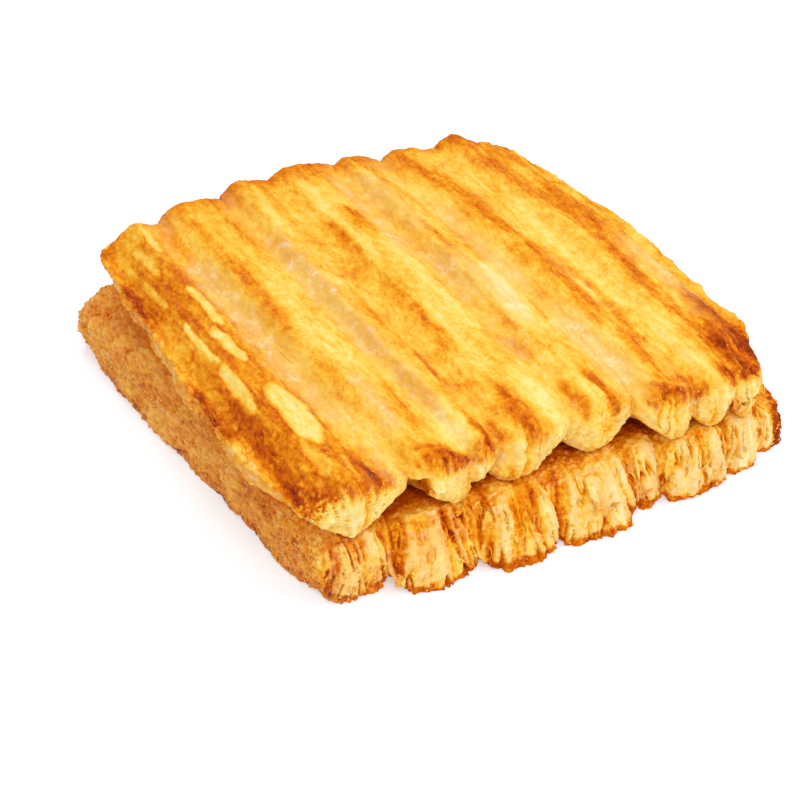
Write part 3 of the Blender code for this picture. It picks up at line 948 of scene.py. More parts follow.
@dataclass
class UpperSlab(Slab):
    """The upper slab: a smooth, streaked top whose ribbons end in plump petals at the front."""

    # ribbon, x, depth and width of each fold down a petal
    folds: tuple = ((0, -37.0, 0.9, 0.8), (3, -4.2, 0.9, 0.8), (4, 14.6, 0.6, 0.6), (5, 27.4, 0.5, 0.6))
    # ribbon, x of its inner end, width and depth of each open gap beside a petal
    gaps: tuple = ((1, -23.4, 3.0, 3.3),)
    # toast moved for each petal; the first petal's is lowered, painted light that makes up for the weaker
    # light falling on it
    petal_tones: tuple = (-0.05, 0.03, 0.08, 0.0, 0.0, 0.0, 0.0, 0.0)
    # x of the left ribbon's edge at the front and the back, and where the right ribbon begins
    left_edge: tuple = (-32.2, -35.4)
    right_edge: tuple = (36.0, 42.0)
    # distances from the middle in Y where valleys end, gaps begin and the back rim browns
    valley_end: float = 54.0
    gap_front: tuple = (39.0, 44.0)
    rim: tuple = (44.0, 54.0)
    # heights of the gaps' roof, of a petal's foot and crest, and of the burns that wrap over the crest
    gap_top: float = 21.6
    petal_foot: float = 17.5
    crest: tuple = (21.0, 23.2)
    wrap: tuple = (19.4, 21.6)
    # the right side swells about this y, and draws in before the front corner
    swell: tuple = (-33.0, 5.5)
    drawn_in: tuple = (38.5, 42.5)

    def valley_fall(self, x: Array, y: Array) -> tuple:
        """Depth in millimetres and clearness of the valleys at each place of the plan."""
        depth, clear = 0.0, 0.0
        for valley in UPPER_VALLEYS:
            fall = valley.fall(x, y)
            depth = depth + valley.depth * fall
            clear = clear + valley.clearness * fall
        return depth, clear

    def hollow(self, x: Array, y: Array) -> Array:
        """Depth of the valleys, which fade out over the front and back edges."""
        depth, _ = self.valley_fall(x + self.centre[0], y + self.centre[1])
        return depth * smooth_step(self.valley_end - np.abs(y), 0.0, 7.0)

    def left_share(self, skin: Skin) -> Array:
        """1 on the left ribbon, whose skin is unbroken, 0 past the valley beside it."""
        edge = blend(*self.left_edge, lengthwise(skin.y))
        return smooth_step(edge - skin.x, -1.2, 1.8)

    def right_share(self, skin: Skin) -> Array:
        """1 on the ribbon at the right, 0 before it."""
        return smooth_step(skin.x, *self.right_edge)

    def gap_depth(self, ribbon: int, skin: Skin) -> Array:
        """How deep the gap beside a ribbon's petal is: it lies low at the front, left of its inner end."""
        depth = np.zeros(skin.x.shape)
        for owner, end, width, deep in self.gaps:
            if owner == ribbon:
                reach = smooth_step(end - skin.x, 0.0, width) * smooth_step(-skin.y, *self.gap_front)
                depth = depth + deep * reach * smooth_step(self.gap_top - skin.z, 0.0, 1.8)
        return depth

    def relief(self, ribbon: int, skin: Skin) -> Array:
        """Long ripples and blisters on top, leaves and folds on the petals, and a ragged lip at the left."""
        top, face = skin.faces(Way.TOP, 0.35, 0.8), skin.faces(Way.FRONT, 0.35, 0.8)
        layers = self.noise.layers(skin.place, UPPER_RELIEF_GRAINS)
        layers["pores"] = smooth_step(layers["pores"], 0.32, 0.62)
        layers.update(left=self.left_share(skin), right=self.right_share(skin))
        rough = UPPER_RELIEF["roughness"].mix(layers)
        out = top * (UPPER_RELIEF["top"].mix(layers) + rough * UPPER_RELIEF["top_fine"].mix(layers))
        out += face * self.petal_relief(ribbon, skin, layers)
        out += np.clip(1.0 - top - face, 0.0, 1.0) * UPPER_RELIEF["rest"].mix(layers)
        out -= self.gap_depth(ribbon, skin)
        if ribbon == self.last:
            swell = bump(skin.y, *self.swell) - 1.2 * smooth_step(-skin.y, *self.drawn_in)
            out += skin.faces(Way.RIGHT, 0.3, 0.8) * UPPER_RELIEF["right"].mix(layers, swell=swell)
        if ribbon == 0:
            lip = smooth_step(-skin.across, 0.8, 0.97) * (1.0 - face)
            # the lip's noises run straight through it and change slowly with height
            layers.update(self.noise.layers(skin.place * np.array([0.0, 1.0, 0.25]), LIP_GRAINS))
            out += lip * UPPER_RELIEF["lip"].mix(layers)
        return out

    def petal_relief(self, ribbon: int, skin: Skin, layers: dict) -> Array:
        """Creases, ribs, slits and fluff of a petal, less its listed folds."""
        warped = skin.place + np.array([0.9, 0.0, 0.0]) * layers["warp"][..., None]
        slit = np.abs(self.noise.plain(warped, PETAL_SLIT, 5.0 * ribbon))
        out = UPPER_RELIEF["petal"].mix(
            layers,
            crease=self.noise.layered(warped, PETAL_CREASE, ribbon),
            rib=self.noise.plain(warped, PETAL_RIB, ribbon),
            slit=1.0 - smooth_step(slit, 0.0, SLIT_WIDTH),
        )
        for owner, middle, deep, width in self.folds:
            if owner == ribbon:
                out = out - deep * bump(warped[..., 0], middle, width)
        return out

    def lay_streaks(self, skin: Skin, layers: dict, toast: Array, clear: Array) -> tuple:
        """Lays the streaks on the top; the pale and burnt ones stray less than the others.

        Args:
            skin: the ribbon's skin.
            layers: noises of its places.
            toast: toast before the streaks.
            clear: clearness before the streaks.
        Returns:
            toast and clear with the streaks, then how pale and how burnt each point is.
        """
        lively = skin.x + 0.8 * layers["sway_x"], skin.y + 2.6 * layers["sway_y"]
        calm = skin.x + 0.7 * layers["calm_x"], skin.y + 1.6 * layers["calm_y"]
        fray = UPPER_BAKE["fray"].mix(layers)
        pale, burn = np.zeros_like(toast), np.zeros_like(toast)
        for streak in UPPER_STREAKS:
            if streak.tone is Tone.PALE:
                pale = np.maximum(pale, streak.cover(*calm) * (1.0 + 0.3 * layers["long_streak"]))
                continue
            where = calm if streak.tone is Tone.BURN else lively
            cover = np.clip(streak.cover(*where) * fray, 0.0, 1.0)
            if streak.tone is Tone.BURN:
                burn = np.maximum(burn, cover)
            elif streak.tone is Tone.TOAST:
                toast = toast + cover * (STREAK_TOAST - toast)
            else:
                clear = np.maximum(clear, cover)
        return toast, clear, pale, burn

    def bake_top(self, skin: Skin, layers: dict) -> tuple:
        """Toast, clear, pale and burn of the top: noise, veins, valleys, streaks and browned rim."""
        left, cloud, mottle = layers["left"], layers["cloud"], layers["mottle"]
        vein = 1.0 - smooth_step(np.abs(layers["vein"]), 0.0, 0.14)
        toast = UPPER_BAKE["top"].mix(layers) + vein * (0.05 + 0.12 * np.maximum(left, layers["right"]))
        _, clear_fall = self.valley_fall(skin.x, skin.y)
        clear = 0.6 * clear_fall * smooth_step(cloud + 0.4 * layers["long_streak"], -0.6, 0.3)
        toast, clear, pale, burn = self.lay_streaks(skin, layers, toast, clear)
        # the left ribbon's lozenges have sharp edges with a browned line round them
        pale = blend(np.clip(pale, 0.0, 1.0), smooth_step(pale, 0.16, 0.74), left)
        toast += left * 0.16 * smooth_step(pale, 0.0, 0.2) * (1.0 - smooth_step(pale, 0.2, 0.7))
        # off the left ribbon, the strongest pale streaks turn whiter still: a painted highlight on pale dough
        white = 0.13 * (1.0 - left) * smooth_step(pale, 0.6, 0.95) * smooth_step(mottle, -0.5, 0.2)
        toast = blend(toast, UPPER_BAKE["lozenge"].mix(layers, white=white), pale)
        toast = toast + burn * (BURNT_TOAST - toast)
        clear = np.clip(clear, 0.0, 1.0) * (1.0 - 0.8 * burn)
        rim = smooth_step(skin.y, *self.rim) * UPPER_BAKE["rim_spread"].mix(layers)
        return blend(toast, 0.74, 0.68 * np.clip(rim, 0.0, 1.0)), clear, pale, burn

    def petal_toast(self, ribbon: int, skin: Skin, layers: dict) -> Array:
        """Toast of a petal's front: darker low down and at its flanks, and darker in its dents as painted
        shade.
        """
        return self.petal_tones[ribbon] + UPPER_BAKE["petal"].mix(
            layers,
            foot=smooth_step(self.petal_foot - skin.z, 0.0, 4.5),
            dent=np.clip(skin.dent, -0.9, 0.3),
            flank=smooth_step(self.off_middle(ribbon, skin.x), 0.5, 1.0),
        )

    def bake(self, ribbon: int, skin: Skin) -> dict:
        """Streaks along the ribbons on top, pale petals in front, browned back and right, tan left lip."""
        layers = self.noise.layers(skin.place, UPPER_BAKE_GRAINS)
        layers.update(left=self.left_share(skin), right=self.right_share(skin))
        mottle = layers["mottle"]
        top, face = skin.faces(Way.TOP, 0.25, 0.7), skin.faces(Way.FRONT, 0.2, 0.5)
        if ribbon == self.last:
            face = face * smooth_step(-skin.y, *self.front_edge)
        toast, clear, pale, burn = self.bake_top(skin, layers)
        clear = clear * top
        crest = smooth_step(skin.z + UPPER_BAKE["crest_edge"].mix(layers), *self.crest)
        petal = face * (1.0 - 0.85 * crest) * (1.0 - burn * smooth_step(skin.z, *self.wrap))
        toast = blend(toast, self.petal_toast(ribbon, skin, layers), petal)
        # clear tan stays off a petal's dents, which keep their painted shade
        raised = smooth_step(skin.dent, -0.5, 0.05) * smooth_step(layers["leaf"] + 0.5 * mottle, -0.6, 0.4)
        clear = np.maximum(clear, 0.7 * petal * raised)
        toast = blend(toast, UPPER_BAKE["back"].mix(layers), 0.9 * skin.faces(Way.BACK, 0.3, 0.75))
        toast = blend(toast, UPPER_BAKE["under"].mix(layers), skin.faces(Way.UNDER, 0.2, 0.7) * (1.0 - face))
        # painted shade deep in the gaps beside the petals, with no clear tan
        gap_shade = smooth_step(self.gap_depth(ribbon, skin), 0.5, 1.8)
        toast = blend(toast, UPPER_BAKE["gap"].mix(layers), gap_shade)
        clear = clear * (1.0 - gap_shade)
        if ribbon == 0:
            lip = smooth_step(-skin.across, 0.9, 0.985) * skin.faces(Way.LEFT, 0.5, 0.85)
            toast = blend(toast, UPPER_BAKE["lip"].mix(layers), 0.95 * lip * (1.0 - 0.6 * burn))
            clear = np.maximum(clear, 0.6 * lip * (1.0 - burn) * smooth_step(mottle, -0.6, 0.3))
        if ribbon == self.last:
            toast = blend(toast, UPPER_BAKE["right"].mix(layers), 0.9 * skin.faces(Way.RIGHT, 0.4, 0.85))
        gloss = np.clip(UPPER_BAKE["gloss"].mix(layers, clear=clear, pale=pale), 0.0, 1.0) * top
        return {"toast": np.clip(toast, 0.0, 1.0), "clear": clear, "gloss": gloss}


@dataclass
class LowerSlab(Slab):
    """The lower slab: a sugared left side, and flaky fans of leaves at the front."""

    fan_spread: float = 0.2
    left_corner_power: float = 2.5
    # x limits of the near fans, which are darker, and of the far ones, which are paler
    near: tuple = (8.0, 22.0)
    far: tuple = (10.0, 30.0)
    # heights: full slits, a fan's browned fold with its width, the ragged foot and the sugar's darker foot
    slit_top: float = 13.0
    fold: tuple = (10.8, 1.1)
    ragged_top: float = 1.6
    sugar_foot: float = 3.0
    # how the right side browns towards the front
    right_browning: tuple = (22.0, 48.0)

    def corner_power(self, ribbon: int, power: Array, across: Array, up: Array) -> Array:
        """Rounds the upper left corner of the slab's left ribbon."""
        if ribbon > 0:
            return power
        share = smooth_step(-across, -0.3, 0.6) * smooth_step(up, -0.8, 0.1)
        return blend(power, self.left_corner_power, share)

    def fan_place(self, ribbon: int, skin: Skin) -> Array:
        """Places with the leaves of a fan pulled parallel: x / (1 - 0.2 up) about the ribbon's middle."""
        middle = self.front_middle(ribbon)
        pulled = skin.place.copy()
        pulled[..., 0] = middle + (skin.x - middle) / (1.0 - self.fan_spread * skin.up)
        pulled[..., 0] += 0.35 * self.noise.layered(skin.place, FAN_SWAY)
        return pulled

    def slits(self, ribbon: int, skin: Skin, pulled: Array) -> Array:
        """1 in the slits between the leaves of a fan, which break off here and there."""
        line = np.abs(self.noise.plain(pulled, FAN_SLIT, 7.0 * ribbon))
        gate = smooth_step(self.noise.layered(skin.place, FAN_BREAK), -0.35, 0.25)
        return gate * (1.0 - smooth_step(line, 0.0, SLIT_WIDTH))

    def relief(self, ribbon: int, skin: Skin) -> Array:
        """Ribs and slits down the fans and their shoulders, sugar grains at the sides, lumps elsewhere."""
        layers = self.noise.layers(skin.place, LOWER_RELIEF_GRAINS)
        pulled = self.fan_place(ribbon, skin)
        layers["rib"] = self.noise.layered(pulled, FAN_RIB, 3.0 * ribbon)
        layers["slit"] = self.slits(ribbon, skin, pulled)
        layers["notch"] = smooth_step(self.off_middle(ribbon, pulled[..., 0]), 0.72, 1.0)
        lobe = self.noise.layered(pulled, FAN_LOBE, ribbon)
        face, back = skin.faces(Way.FRONT, 0.25, 0.6), skin.faces(Way.BACK, 0.25, 0.6)
        shoulder = skin.faces(Way.TOP, 0.3, 0.8) * smooth_step(-skin.y, *self.front_edge)
        leaves = np.clip(face + back + 0.7 * shoulder, 0.0, 1.0)
        low = 0.35 + 0.65 * smooth_step(self.slit_top - skin.z, 0.0, 4.0)
        out = leaves * (low * LOWER_RELIEF["ribs"].mix(layers) + LOWER_RELIEF["flakes"].mix(layers))
        out += (0.9 * (face + back) + 0.7 * shoulder) * lobe
        out += np.clip(1.0 - face - back, 0.0, 1.0) * LOWER_RELIEF["rest"].mix(layers)
        foot = smooth_step(self.ragged_top - skin.z, 0.0, 1.0)
        out += 0.7 * face * foot * LOWER_RELIEF["ragged_foot"].mix(layers)
        if ribbon in (0, self.last):
            # the grains cover the whole left side, but only the outermost part of the right one
            outward, limits = (-skin.across, (-0.6, 0.1)) if ribbon == 0 else (skin.across, (0.5, 0.95))
            layers.update(self.noise.layers(skin.place, SIDE_GRAINS))
            layers["pit"] = smooth_step(layers["pit"], 0.15, 0.5)
            out += smooth_step(outward, *limits) * (1.0 - face) * LOWER_RELIEF["side"].mix(layers)
        return out

    def bake(self, ribbon: int, skin: Skin) -> dict:
        """Pale leaves, golden shoulders, brown foot, sugared side; painted shade in dents, slits and pits,
        and dark caramel deepened by painted shade under the upper slab.
        """
        layers = self.noise.layers(skin.place, LOWER_BAKE_GRAINS)
        pulled = self.fan_place(ribbon, skin)
        cloud, dent = layers["cloud"], skin.dent
        layers["leaf"] = self.noise.layered(pulled, FAN_LEAF, ribbon)
        layers["slit"] = self.slits(ribbon, skin, pulled)
        layers["notch"] = smooth_step(self.off_middle(ribbon, pulled[..., 0]), 0.7, 1.0)
        layers["far"] = smooth_step(skin.x, *self.far)
        layers["near"] = smooth_step(-skin.x, *self.near)
        layers["fold"] = bump(skin.z, *self.fold) * smooth_step(cloud, -0.2, 0.4)
        face = skin.faces(Way.FRONT, 0.3, 0.62)
        shoulder = LOWER_BAKE["shoulder"].mix(layers, dent=np.clip(dent, -0.9, 0.9))
        fan = LOWER_BAKE["fan"].mix(layers, dent=np.clip(dent, -0.8, 0.4))
        toast = blend(shoulder, fan, face * smooth_step(LOWER_BAKE["fan_top"].mix(layers) - skin.z, 0.0, 2.4))
        foot = smooth_step(LOWER_BAKE["foot_top"].mix(layers) - skin.z, 0.0, 1.1)
        toast = blend(toast, LOWER_BAKE["foot"].mix(layers), foot * 0.85)
        # the top under the upper slab turns dark and glossy: caramel colour, deepened by painted shade
        shaded_caramel = self.shaded_caramel_share(skin)
        toast = blend(toast, LOWER_BAKE["shaded_caramel"].mix(layers), shaded_caramel * 0.9)
        back = LOWER_BAKE["back"].mix(layers, dent=np.clip(dent, -1.0, 0.7))
        toast = blend(toast, back, skin.faces(Way.BACK, 0.3, 0.7) * (1.0 - foot))
        toast = blend(toast, LOWER_BAKE["under"].mix(layers), skin.faces(Way.UNDER, 0.5, 0.9))
        # clear tan stays off dents and slits, which keep their painted shade
        raised = smooth_step(dent, -0.55, 0.05) * (1.0 - 0.9 * layers["slit"])
        clear = LOWER_BAKE["clearness"].mix(layers) * face * raised * (1.0 - foot)
        clear = clear * smooth_step(cloud + layers["leaf"] + dent, -0.6, 0.4)
        gloss = shaded_caramel * 0.9
        if ribbon == 0:
            side = smooth_step(-skin.across, -0.8, -0.2) * (1.0 - 0.8 * face)
            low = smooth_step(self.sugar_foot - skin.z, 0.0, 2.5)
            sugar = LOWER_BAKE["sugar"].mix(layers, dent=np.clip(dent, -0.8, 0.6), low=low)
            toast = blend(toast, sugar, side)
            sugar_clear = np.clip(LOWER_BAKE["sugar_clear"].mix(layers), 0.0, 0.7)
            clear = blend(clear, sugar_clear * (0.4 + 0.6 * raised), side)
            gloss = 0.15 * side
        if ribbon == self.last:
            side, corner = skin.faces(Way.RIGHT, 0.2, 0.7), smooth_step(skin.across, -0.3, 0.6) * face
            edge = smooth_step(-skin.y, *self.right_browning)
            brown = LOWER_BAKE["right"].mix(layers, edge=edge, dent=np.clip(dent, -0.8, 0.7))
            toast = blend(toast, brown, side)
            toast = blend(toast, LOWER_BAKE["corner"].mix(layers), 0.95 * corner)
            clear = clear * (1.0 - np.maximum(side, corner))
        return {"toast": np.clip(toast, 0.0, 1.0), "clear": clear, "gloss": gloss}

    def shaded_caramel_share(self, skin: Skin) -> Array:
        """1 on the part of the top that lies under the upper slab, less at its right; there dark caramel is
        deepened by painted shade.
        """
        along_y = smooth_step(skin.y, -49.0, -44.0) * smooth_step(51.0 - skin.y, 0.0, 5.0)
        along_x = smooth_step(skin.x, -41.0, -36.0) * (1.0 - 0.7 * smooth_step(skin.x, 44.0, 48.0))
        return skin.faces(Way.TOP, 0.5, 0.85) * along_y * along_x


Weigh = Callable[[int, Skin], Array]


def many_tubes(name: str, points: Array, tips: Array, tones: dict) -> Object:
    """One object of many small closed tubes.

    Args:
        name: of the object.
        points: (tubes, rings, columns, 3).
        tips: (tubes, 2, 3), each tube's poles.
        tones: one number per tube for each attribute.
    Returns:
        the object.
    """
    count, rings, columns = points.shape[:3]
    quads, triangles = tube_faces(rings, columns)
    each = rings * columns + 2
    start = (np.arange(count) * each)[:, None, None]
    whole = np.concatenate([points.reshape(count, -1, 3), tips], axis=1).reshape(-1, 3)
    spread = {tone: np.repeat(values, each) for tone, values in tones.items()}
    faces = (quads[None] + start).reshape(-1, 4), (triangles[None] + start).reshape(-1, 3)
    return mesh_object(name, whole, *faces, spread)


def pick_spots(slab: Slab, weigh: Weigh, count: int, rng: np.random.Generator) -> tuple:
    """Random spots on a slab's surface.

    Args:
        slab: a built slab.
        weigh: function of a ribbon's number and skin that gives each point's chance.
        count: how many spots.
        rng: seeded generator.
    Returns:
        places and normals, (count, 3) each.
    """
    places, normals, chances = [], [], []
    for ribbon, skin in enumerate(slab.surface):
        down, side = np.gradient(skin.place, axis=0), np.gradient(skin.place, axis=1)
        area = np.linalg.norm(down, axis=-1) * np.linalg.norm(side, axis=-1)
        chance = weigh(ribbon, skin) * area
        kept = chance > 0.0
        places.append(skin.place[kept])
        normals.append(skin.normal[kept])
        chances.append(chance[kept])
    chance = np.concatenate(chances)
    chosen = rng.choice(len(chance), size=count, p=chance / chance.sum())
    return np.concatenate(places)[chosen], np.concatenate(normals)[chosen]


@dataclass
class Scattered:
    """Small things planted at random on a slab, each a closed tube with its own tones."""

    name: str
    count: int
    seed: int
    size: tuple
    toast: tuple
    clear: tuple
    gloss: float = 0.0
    toast_limits: tuple = (0.0, 1.0)
    rings: int = 4
    columns: int = 6

    def shapes(self, place: Array, normal: Array, rng: np.random.Generator) -> tuple:
        """Points (count, rings, columns, 3) and poles (count, 2, 3) of the things at their places."""
        raise NotImplementedError

    def build(self, slab: Slab, weigh: Weigh, finish: Material) -> None:
        """Plants the things.

        Args:
            slab: built slab that carries them.
            weigh: chance of each point of the slab.
            finish: material.
        """
        rng = np.random.default_rng(self.seed)
        place, normal = pick_spots(slab, weigh, self.count, rng)
        points, tips = self.shapes(place, normal, rng)
        tones = {
            "toast": np.clip(rng.normal(*self.toast, self.count), *self.toast_limits),
            "clear": rng.uniform(*self.clear, self.count),
            "gloss": np.full(self.count, self.gloss),
        }
        seat(many_tubes(self.name, points, tips, tones), finish, "root", slab.slot, slab.name)


@dataclass
class LeafFlakes(Scattered):
    """Thin leaves of dough that peel off the fans: blades with a lens section, curled at their ends."""

    width: tuple = (0.35, 0.8)
    thickness: float = 0.12
    stand: tuple = (0.0, 0.3)
    stray: float = 0.28
    tilt: tuple = (0.2, 1.25)
    curl: tuple = (0.0, 1.3)
    sway: tuple = (-0.8, 0.8)
    ruffle: float = 0.25
    ground: float = 0.25
    toast_limits: tuple = (0.2, 0.8)
    rings: int = 9
    columns: int = 8

    def shapes(self, place: Array, normal: Array, rng: np.random.Generator) -> tuple:
        """Points and poles of the blades; size is their length.

        A blade runs along the face's own up direction u. Its middle line is
        p + u (s - 1/2) L + n (h + c s^2), and its section at s is an ellipse of half width w sin(pi s)^0.6
        on b and half thickness on u x b, where b leans out of the face.
        """
        rise = np.array([0.0, 0.0, 1.0]) - normal * normal[:, 2:3]
        rise += self.stray * rng.normal(size=rise.shape) * np.array([1.0, 0.3, 0.2])
        rise /= np.linalg.norm(rise, axis=1, keepdims=True)
        side = np.cross(normal, rise)
        side /= np.linalg.norm(side, axis=1, keepdims=True)
        lean = rng.uniform(*self.tilt, self.count)[:, None] * rng.choice([-1.0, 1.0], self.count)[:, None]
        broad = np.cos(lean) * side + np.sin(lean) * normal
        broad /= np.linalg.norm(broad, axis=1, keepdims=True)
        thin = np.cross(rise, broad)
        length, half_width, height, curl, sway = (
            rng.uniform(*limits, self.count)[:, None, None]
            for limits in (self.size, self.width, self.stand, self.curl, self.sway)
        )
        s = np.linspace(0.04, 0.96, self.rings)[None, :, None]
        line = place[:, None, :] + rise[:, None, :] * (s - 0.5) * length
        line = line + normal[:, None, :] * (height + curl * s**2)
        line = line + side[:, None, :] * sway * np.sin(np.pi * s)
        angle = np.linspace(0.0, 2.0 * np.pi, self.columns, endpoint=False)[None, None, :, None]
        wide = (np.sin(np.pi * s) ** 0.6 * half_width)[:, :, None, :]
        thick = self.thickness * np.sqrt(np.sin(np.pi * s))[:, :, None, :]
        ruffle = 1.0 + self.ruffle * rng.normal(size=(self.count, self.rings, 1, 1))
        points = line[:, :, None, :] + broad[:, None, None, :] * np.cos(angle) * wide * ruffle
        points = points + thin[:, None, None, :] * np.sin(angle) * thick
        points[..., 2] += np.clip(self.ground - points[..., 2], 0.0, None)
        return points, np.stack([points[:, 0].mean(axis=1), points[:, -1].mean(axis=1)], axis=1)


@dataclass
class Crumbs(Scattered):
    """Crumbs or sugar grains stuck to a slab: small uneven lumps, partly sunk in."""

    proud: tuple = (0.0, 0.6)
    uneven: tuple = (-0.3, 0.3)
    stretch: tuple = (0.7, 1.3)

    def shapes(self, place: Array, normal: Array, rng: np.random.Generator) -> tuple:
        """Points and poles of the lumps: stretched spheres with uneven points; size is their radius."""
        radius = rng.uniform(*self.size, self.count)[:, None]
        centre = place + normal * radius * rng.uniform(*self.proud, self.count)[:, None]
        centre[:, 2] = np.maximum(centre[:, 2], 1.1 * radius[:, 0])
        polar = (np.arange(1, self.rings + 1) / (self.rings + 1) * np.pi)[:, None]
        turn = np.linspace(0.0, 2.0 * np.pi, self.columns, endpoint=False)[None, :]
        height = np.cos(polar) + 0.0 * turn
        ball = np.stack([np.sin(polar) * np.cos(turn), np.sin(polar) * np.sin(turn), height], axis=-1)
        uneven = 1.0 + rng.uniform(*self.uneven, size=(self.count, self.rings, self.columns, 1))
        stretch = rng.uniform(*self.stretch, size=(self.count, 1, 1, 3))
        points = centre[:, None, None, :] + ball[None] * uneven * stretch * radius[:, :, None, None]
        pole = np.array([[0.0, 0.0, 1.0], [0.0, 0.0, -1.0]])
        return points, centre[:, None, :] + pole[None] * stretch[:, 0] * radius[:, :, None]


@dataclass
class FillingSheet:
    """The sheet of caramel filling: a rounded rectangle in plan with a pressed-out, wavy edge."""

    centre: tuple = (1.5, 1.0)
    half_width: float = 39.5
    half_length: float = 42.0
    low: float = 12.9
    high: float = 14.5
    squareness: float = 0.38
    rim_squareness: float = 0.4
    waves: tuple = ((7, 0.8, 0.4), (13, 0.5, 1.9))
    ripple: Grain = Grain((7.0, 7.0, 9.0), 3, 0.5, 2.0)
    ripple_height: float = 0.12
    seed: int = 5
    sides: int = 360
    rings: int = 60

    def edge(self, angle: Array) -> tuple:
        """Outline: half sizes times signed powers of cosine and sine, plus a few waves round the edge."""
        across = np.sign(np.cos(angle)) * np.abs(np.cos(angle)) ** self.squareness
        along = np.sign(np.sin(angle)) * np.abs(np.sin(angle)) ** self.squareness
        wave = sum(height * np.sin(count * angle + phase) for count, height, phase in self.waves)
        return (self.half_width + wave) * across, (self.half_length + wave) * along

    def build(self, finish: Material) -> None:
        """Builds the sheet as a closed tube whose poles are the middles of its two faces.

        A ring's size is sin(t)^0.5 of the outline and its height cos(t)^0.4, so that the rim is round.

        Args:
            finish: the filling's material.
        """
        angle = np.linspace(0.0, 2.0 * np.pi, self.sides, endpoint=False)
        turn = np.linspace(0.004, np.pi - 0.004, self.rings)[:, None]
        across, along = self.edge(angle)
        size = np.sin(turn) ** 0.5
        x = self.centre[0] + across[None, :] * size
        y = self.centre[1] + along[None, :] * size
        bow = np.sign(np.cos(turn)) * np.abs(np.cos(turn)) ** self.rim_squareness
        z = (self.low + self.high) / 2.0 + (self.high - self.low) / 2.0 * bow + 0.0 * x
        place = np.stack([x, y, z], axis=-1)
        ripple = DoughNoise(self.seed).layered(place, self.ripple)
        place[..., 2] += self.ripple_height * ripple
        obj = tube_object("caramel_filling", place, {"toast": 0.5 + 0.4 * ripple})
        seat(obj, finish, "root", Slot.FILLING, "filling")


@dataclass(frozen=True)
class Tool:
    """Short names for making nodes and links in one tree."""

    tree: NodeTree

    def node(self, kind: str, **values: object) -> Node:
        """A new node, with properties set by name."""
        made = self.tree.nodes.new(kind)
        for name, value in values.items():
            setattr(made, name, value)
        return made

    def link(self, source: NodeSocket, target: NodeSocket) -> None:
        """Joins two sockets."""
        self.tree.links.new(source, target)

    def fill(self, node: Node, values: dict) -> None:
        """Gives inputs, by their name or number, a socket to follow or a fixed value."""
        for name, value in values.items():
            if isinstance(value, NodeSocket):
                self.link(value, node.inputs[name])
            else:
                node.inputs[name].default_value = value

    def math(self, operation: str, first: object, second: object = 0.0, clamp: bool = False) -> NodeSocket:
        """A Math node's result, each input a socket or a number."""
        made = self.node("ShaderNodeMath", operation=operation, use_clamp=clamp)
        self.fill(made, {0: first, 1: second})
        return made.outputs[0]

    def swing(self, noise: NodeSocket, height: object) -> NodeSocket:
        """A noise about its middle, times a height that is a socket or a number."""
        return self.math("MULTIPLY", self.math("SUBTRACT", noise, 0.5), height)

    def mix(self, share: object, first: object, second: object) -> NodeSocket:
        """A colour mix, each colour a socket or four numbers."""
        made = self.node("ShaderNodeMix", data_type="RGBA")
        self.fill(made, {0: share, 6: first, 7: second})
        return made.outputs[2]

    def noise(self, scale: tuple, detail: float = 3.0, roughness: float = 0.6) -> NodeSocket:
        """Noise on Object coordinates, with its own scale along X, Y and Z in cells per metre."""
        where = self.node("ShaderNodeTexCoord")
        stretch = self.node("ShaderNodeMapping")
        self.fill(stretch, {"Scale": scale, "Vector": where.outputs["Object"]})
        made = self.node("ShaderNodeTexNoise")
        place = stretch.outputs["Vector"]
        self.fill(made, {"Scale": 1.0, "Detail": detail, "Roughness": roughness, "Vector": place})
        return made.outputs["Fac"]

    def attribute(self, name: str) -> NodeSocket:
        """A point attribute of the mesh."""
        return self.node("ShaderNodeAttribute", attribute_name=name).outputs["Fac"]

    def relief(self, height: NodeSocket, strength: float) -> NodeSocket:
        """The normal of a bump of a given height."""
        made = self.node("ShaderNodeBump")
        self.fill(made, {"Strength": strength, "Distance": BUMP_DISTANCE, "Height": height})
        return made.outputs["Normal"]


def new_material(name: str) -> tuple:
    """A new material, the tool for its tree and its Principled shader."""
    made = bpy.data.materials.new(name)
    made.use_nodes = True
    return made, Tool(made.node_tree), made.node_tree.nodes["Principled BSDF"]


def display(red: int, green: int, blue: int) -> tuple:
    """Scene-linear opaque colour of three display values of 0 to 255."""
    shares = np.array([red, green, blue]) / 255.0
    curved = np.where(shares <= 0.04045, shares / 12.92, ((shares + 0.055) / 1.055) ** 2.4)
    return (*curved, 1.0)


@dataclass(frozen=True)
class CrustTones:
    """Colours of puff pastry from pale dough to burnt caramel, as display values, and the crust's noises."""

    stops: tuple = (
        (0.0, (255, 240, 180)),
        (0.16, (255, 227, 134)),
        (0.32, (254, 209, 88)),
        (0.46, (250, 184, 50)),
        (0.60, (240, 149, 20)),
        (0.74, (216, 108, 4)),
        (0.87, (178, 70, 6)),
        (1.0, (120, 38, 10)),
    )
    # cells of the noises per metre along X, Y and Z
    grain_cells: tuple = (1500.0, 1300.0, 1500.0)
    streak_cells: tuple = (1000.0, 380.0, 700.0)
    broad_cells: tuple = (420.0, 300.0, 420.0)
    # toast that the broad noise moves, roughness of a dry crust, and what full gloss takes off it
    broad_share: float = 0.16
    dry: float = 0.76
    polish: float = 0.46


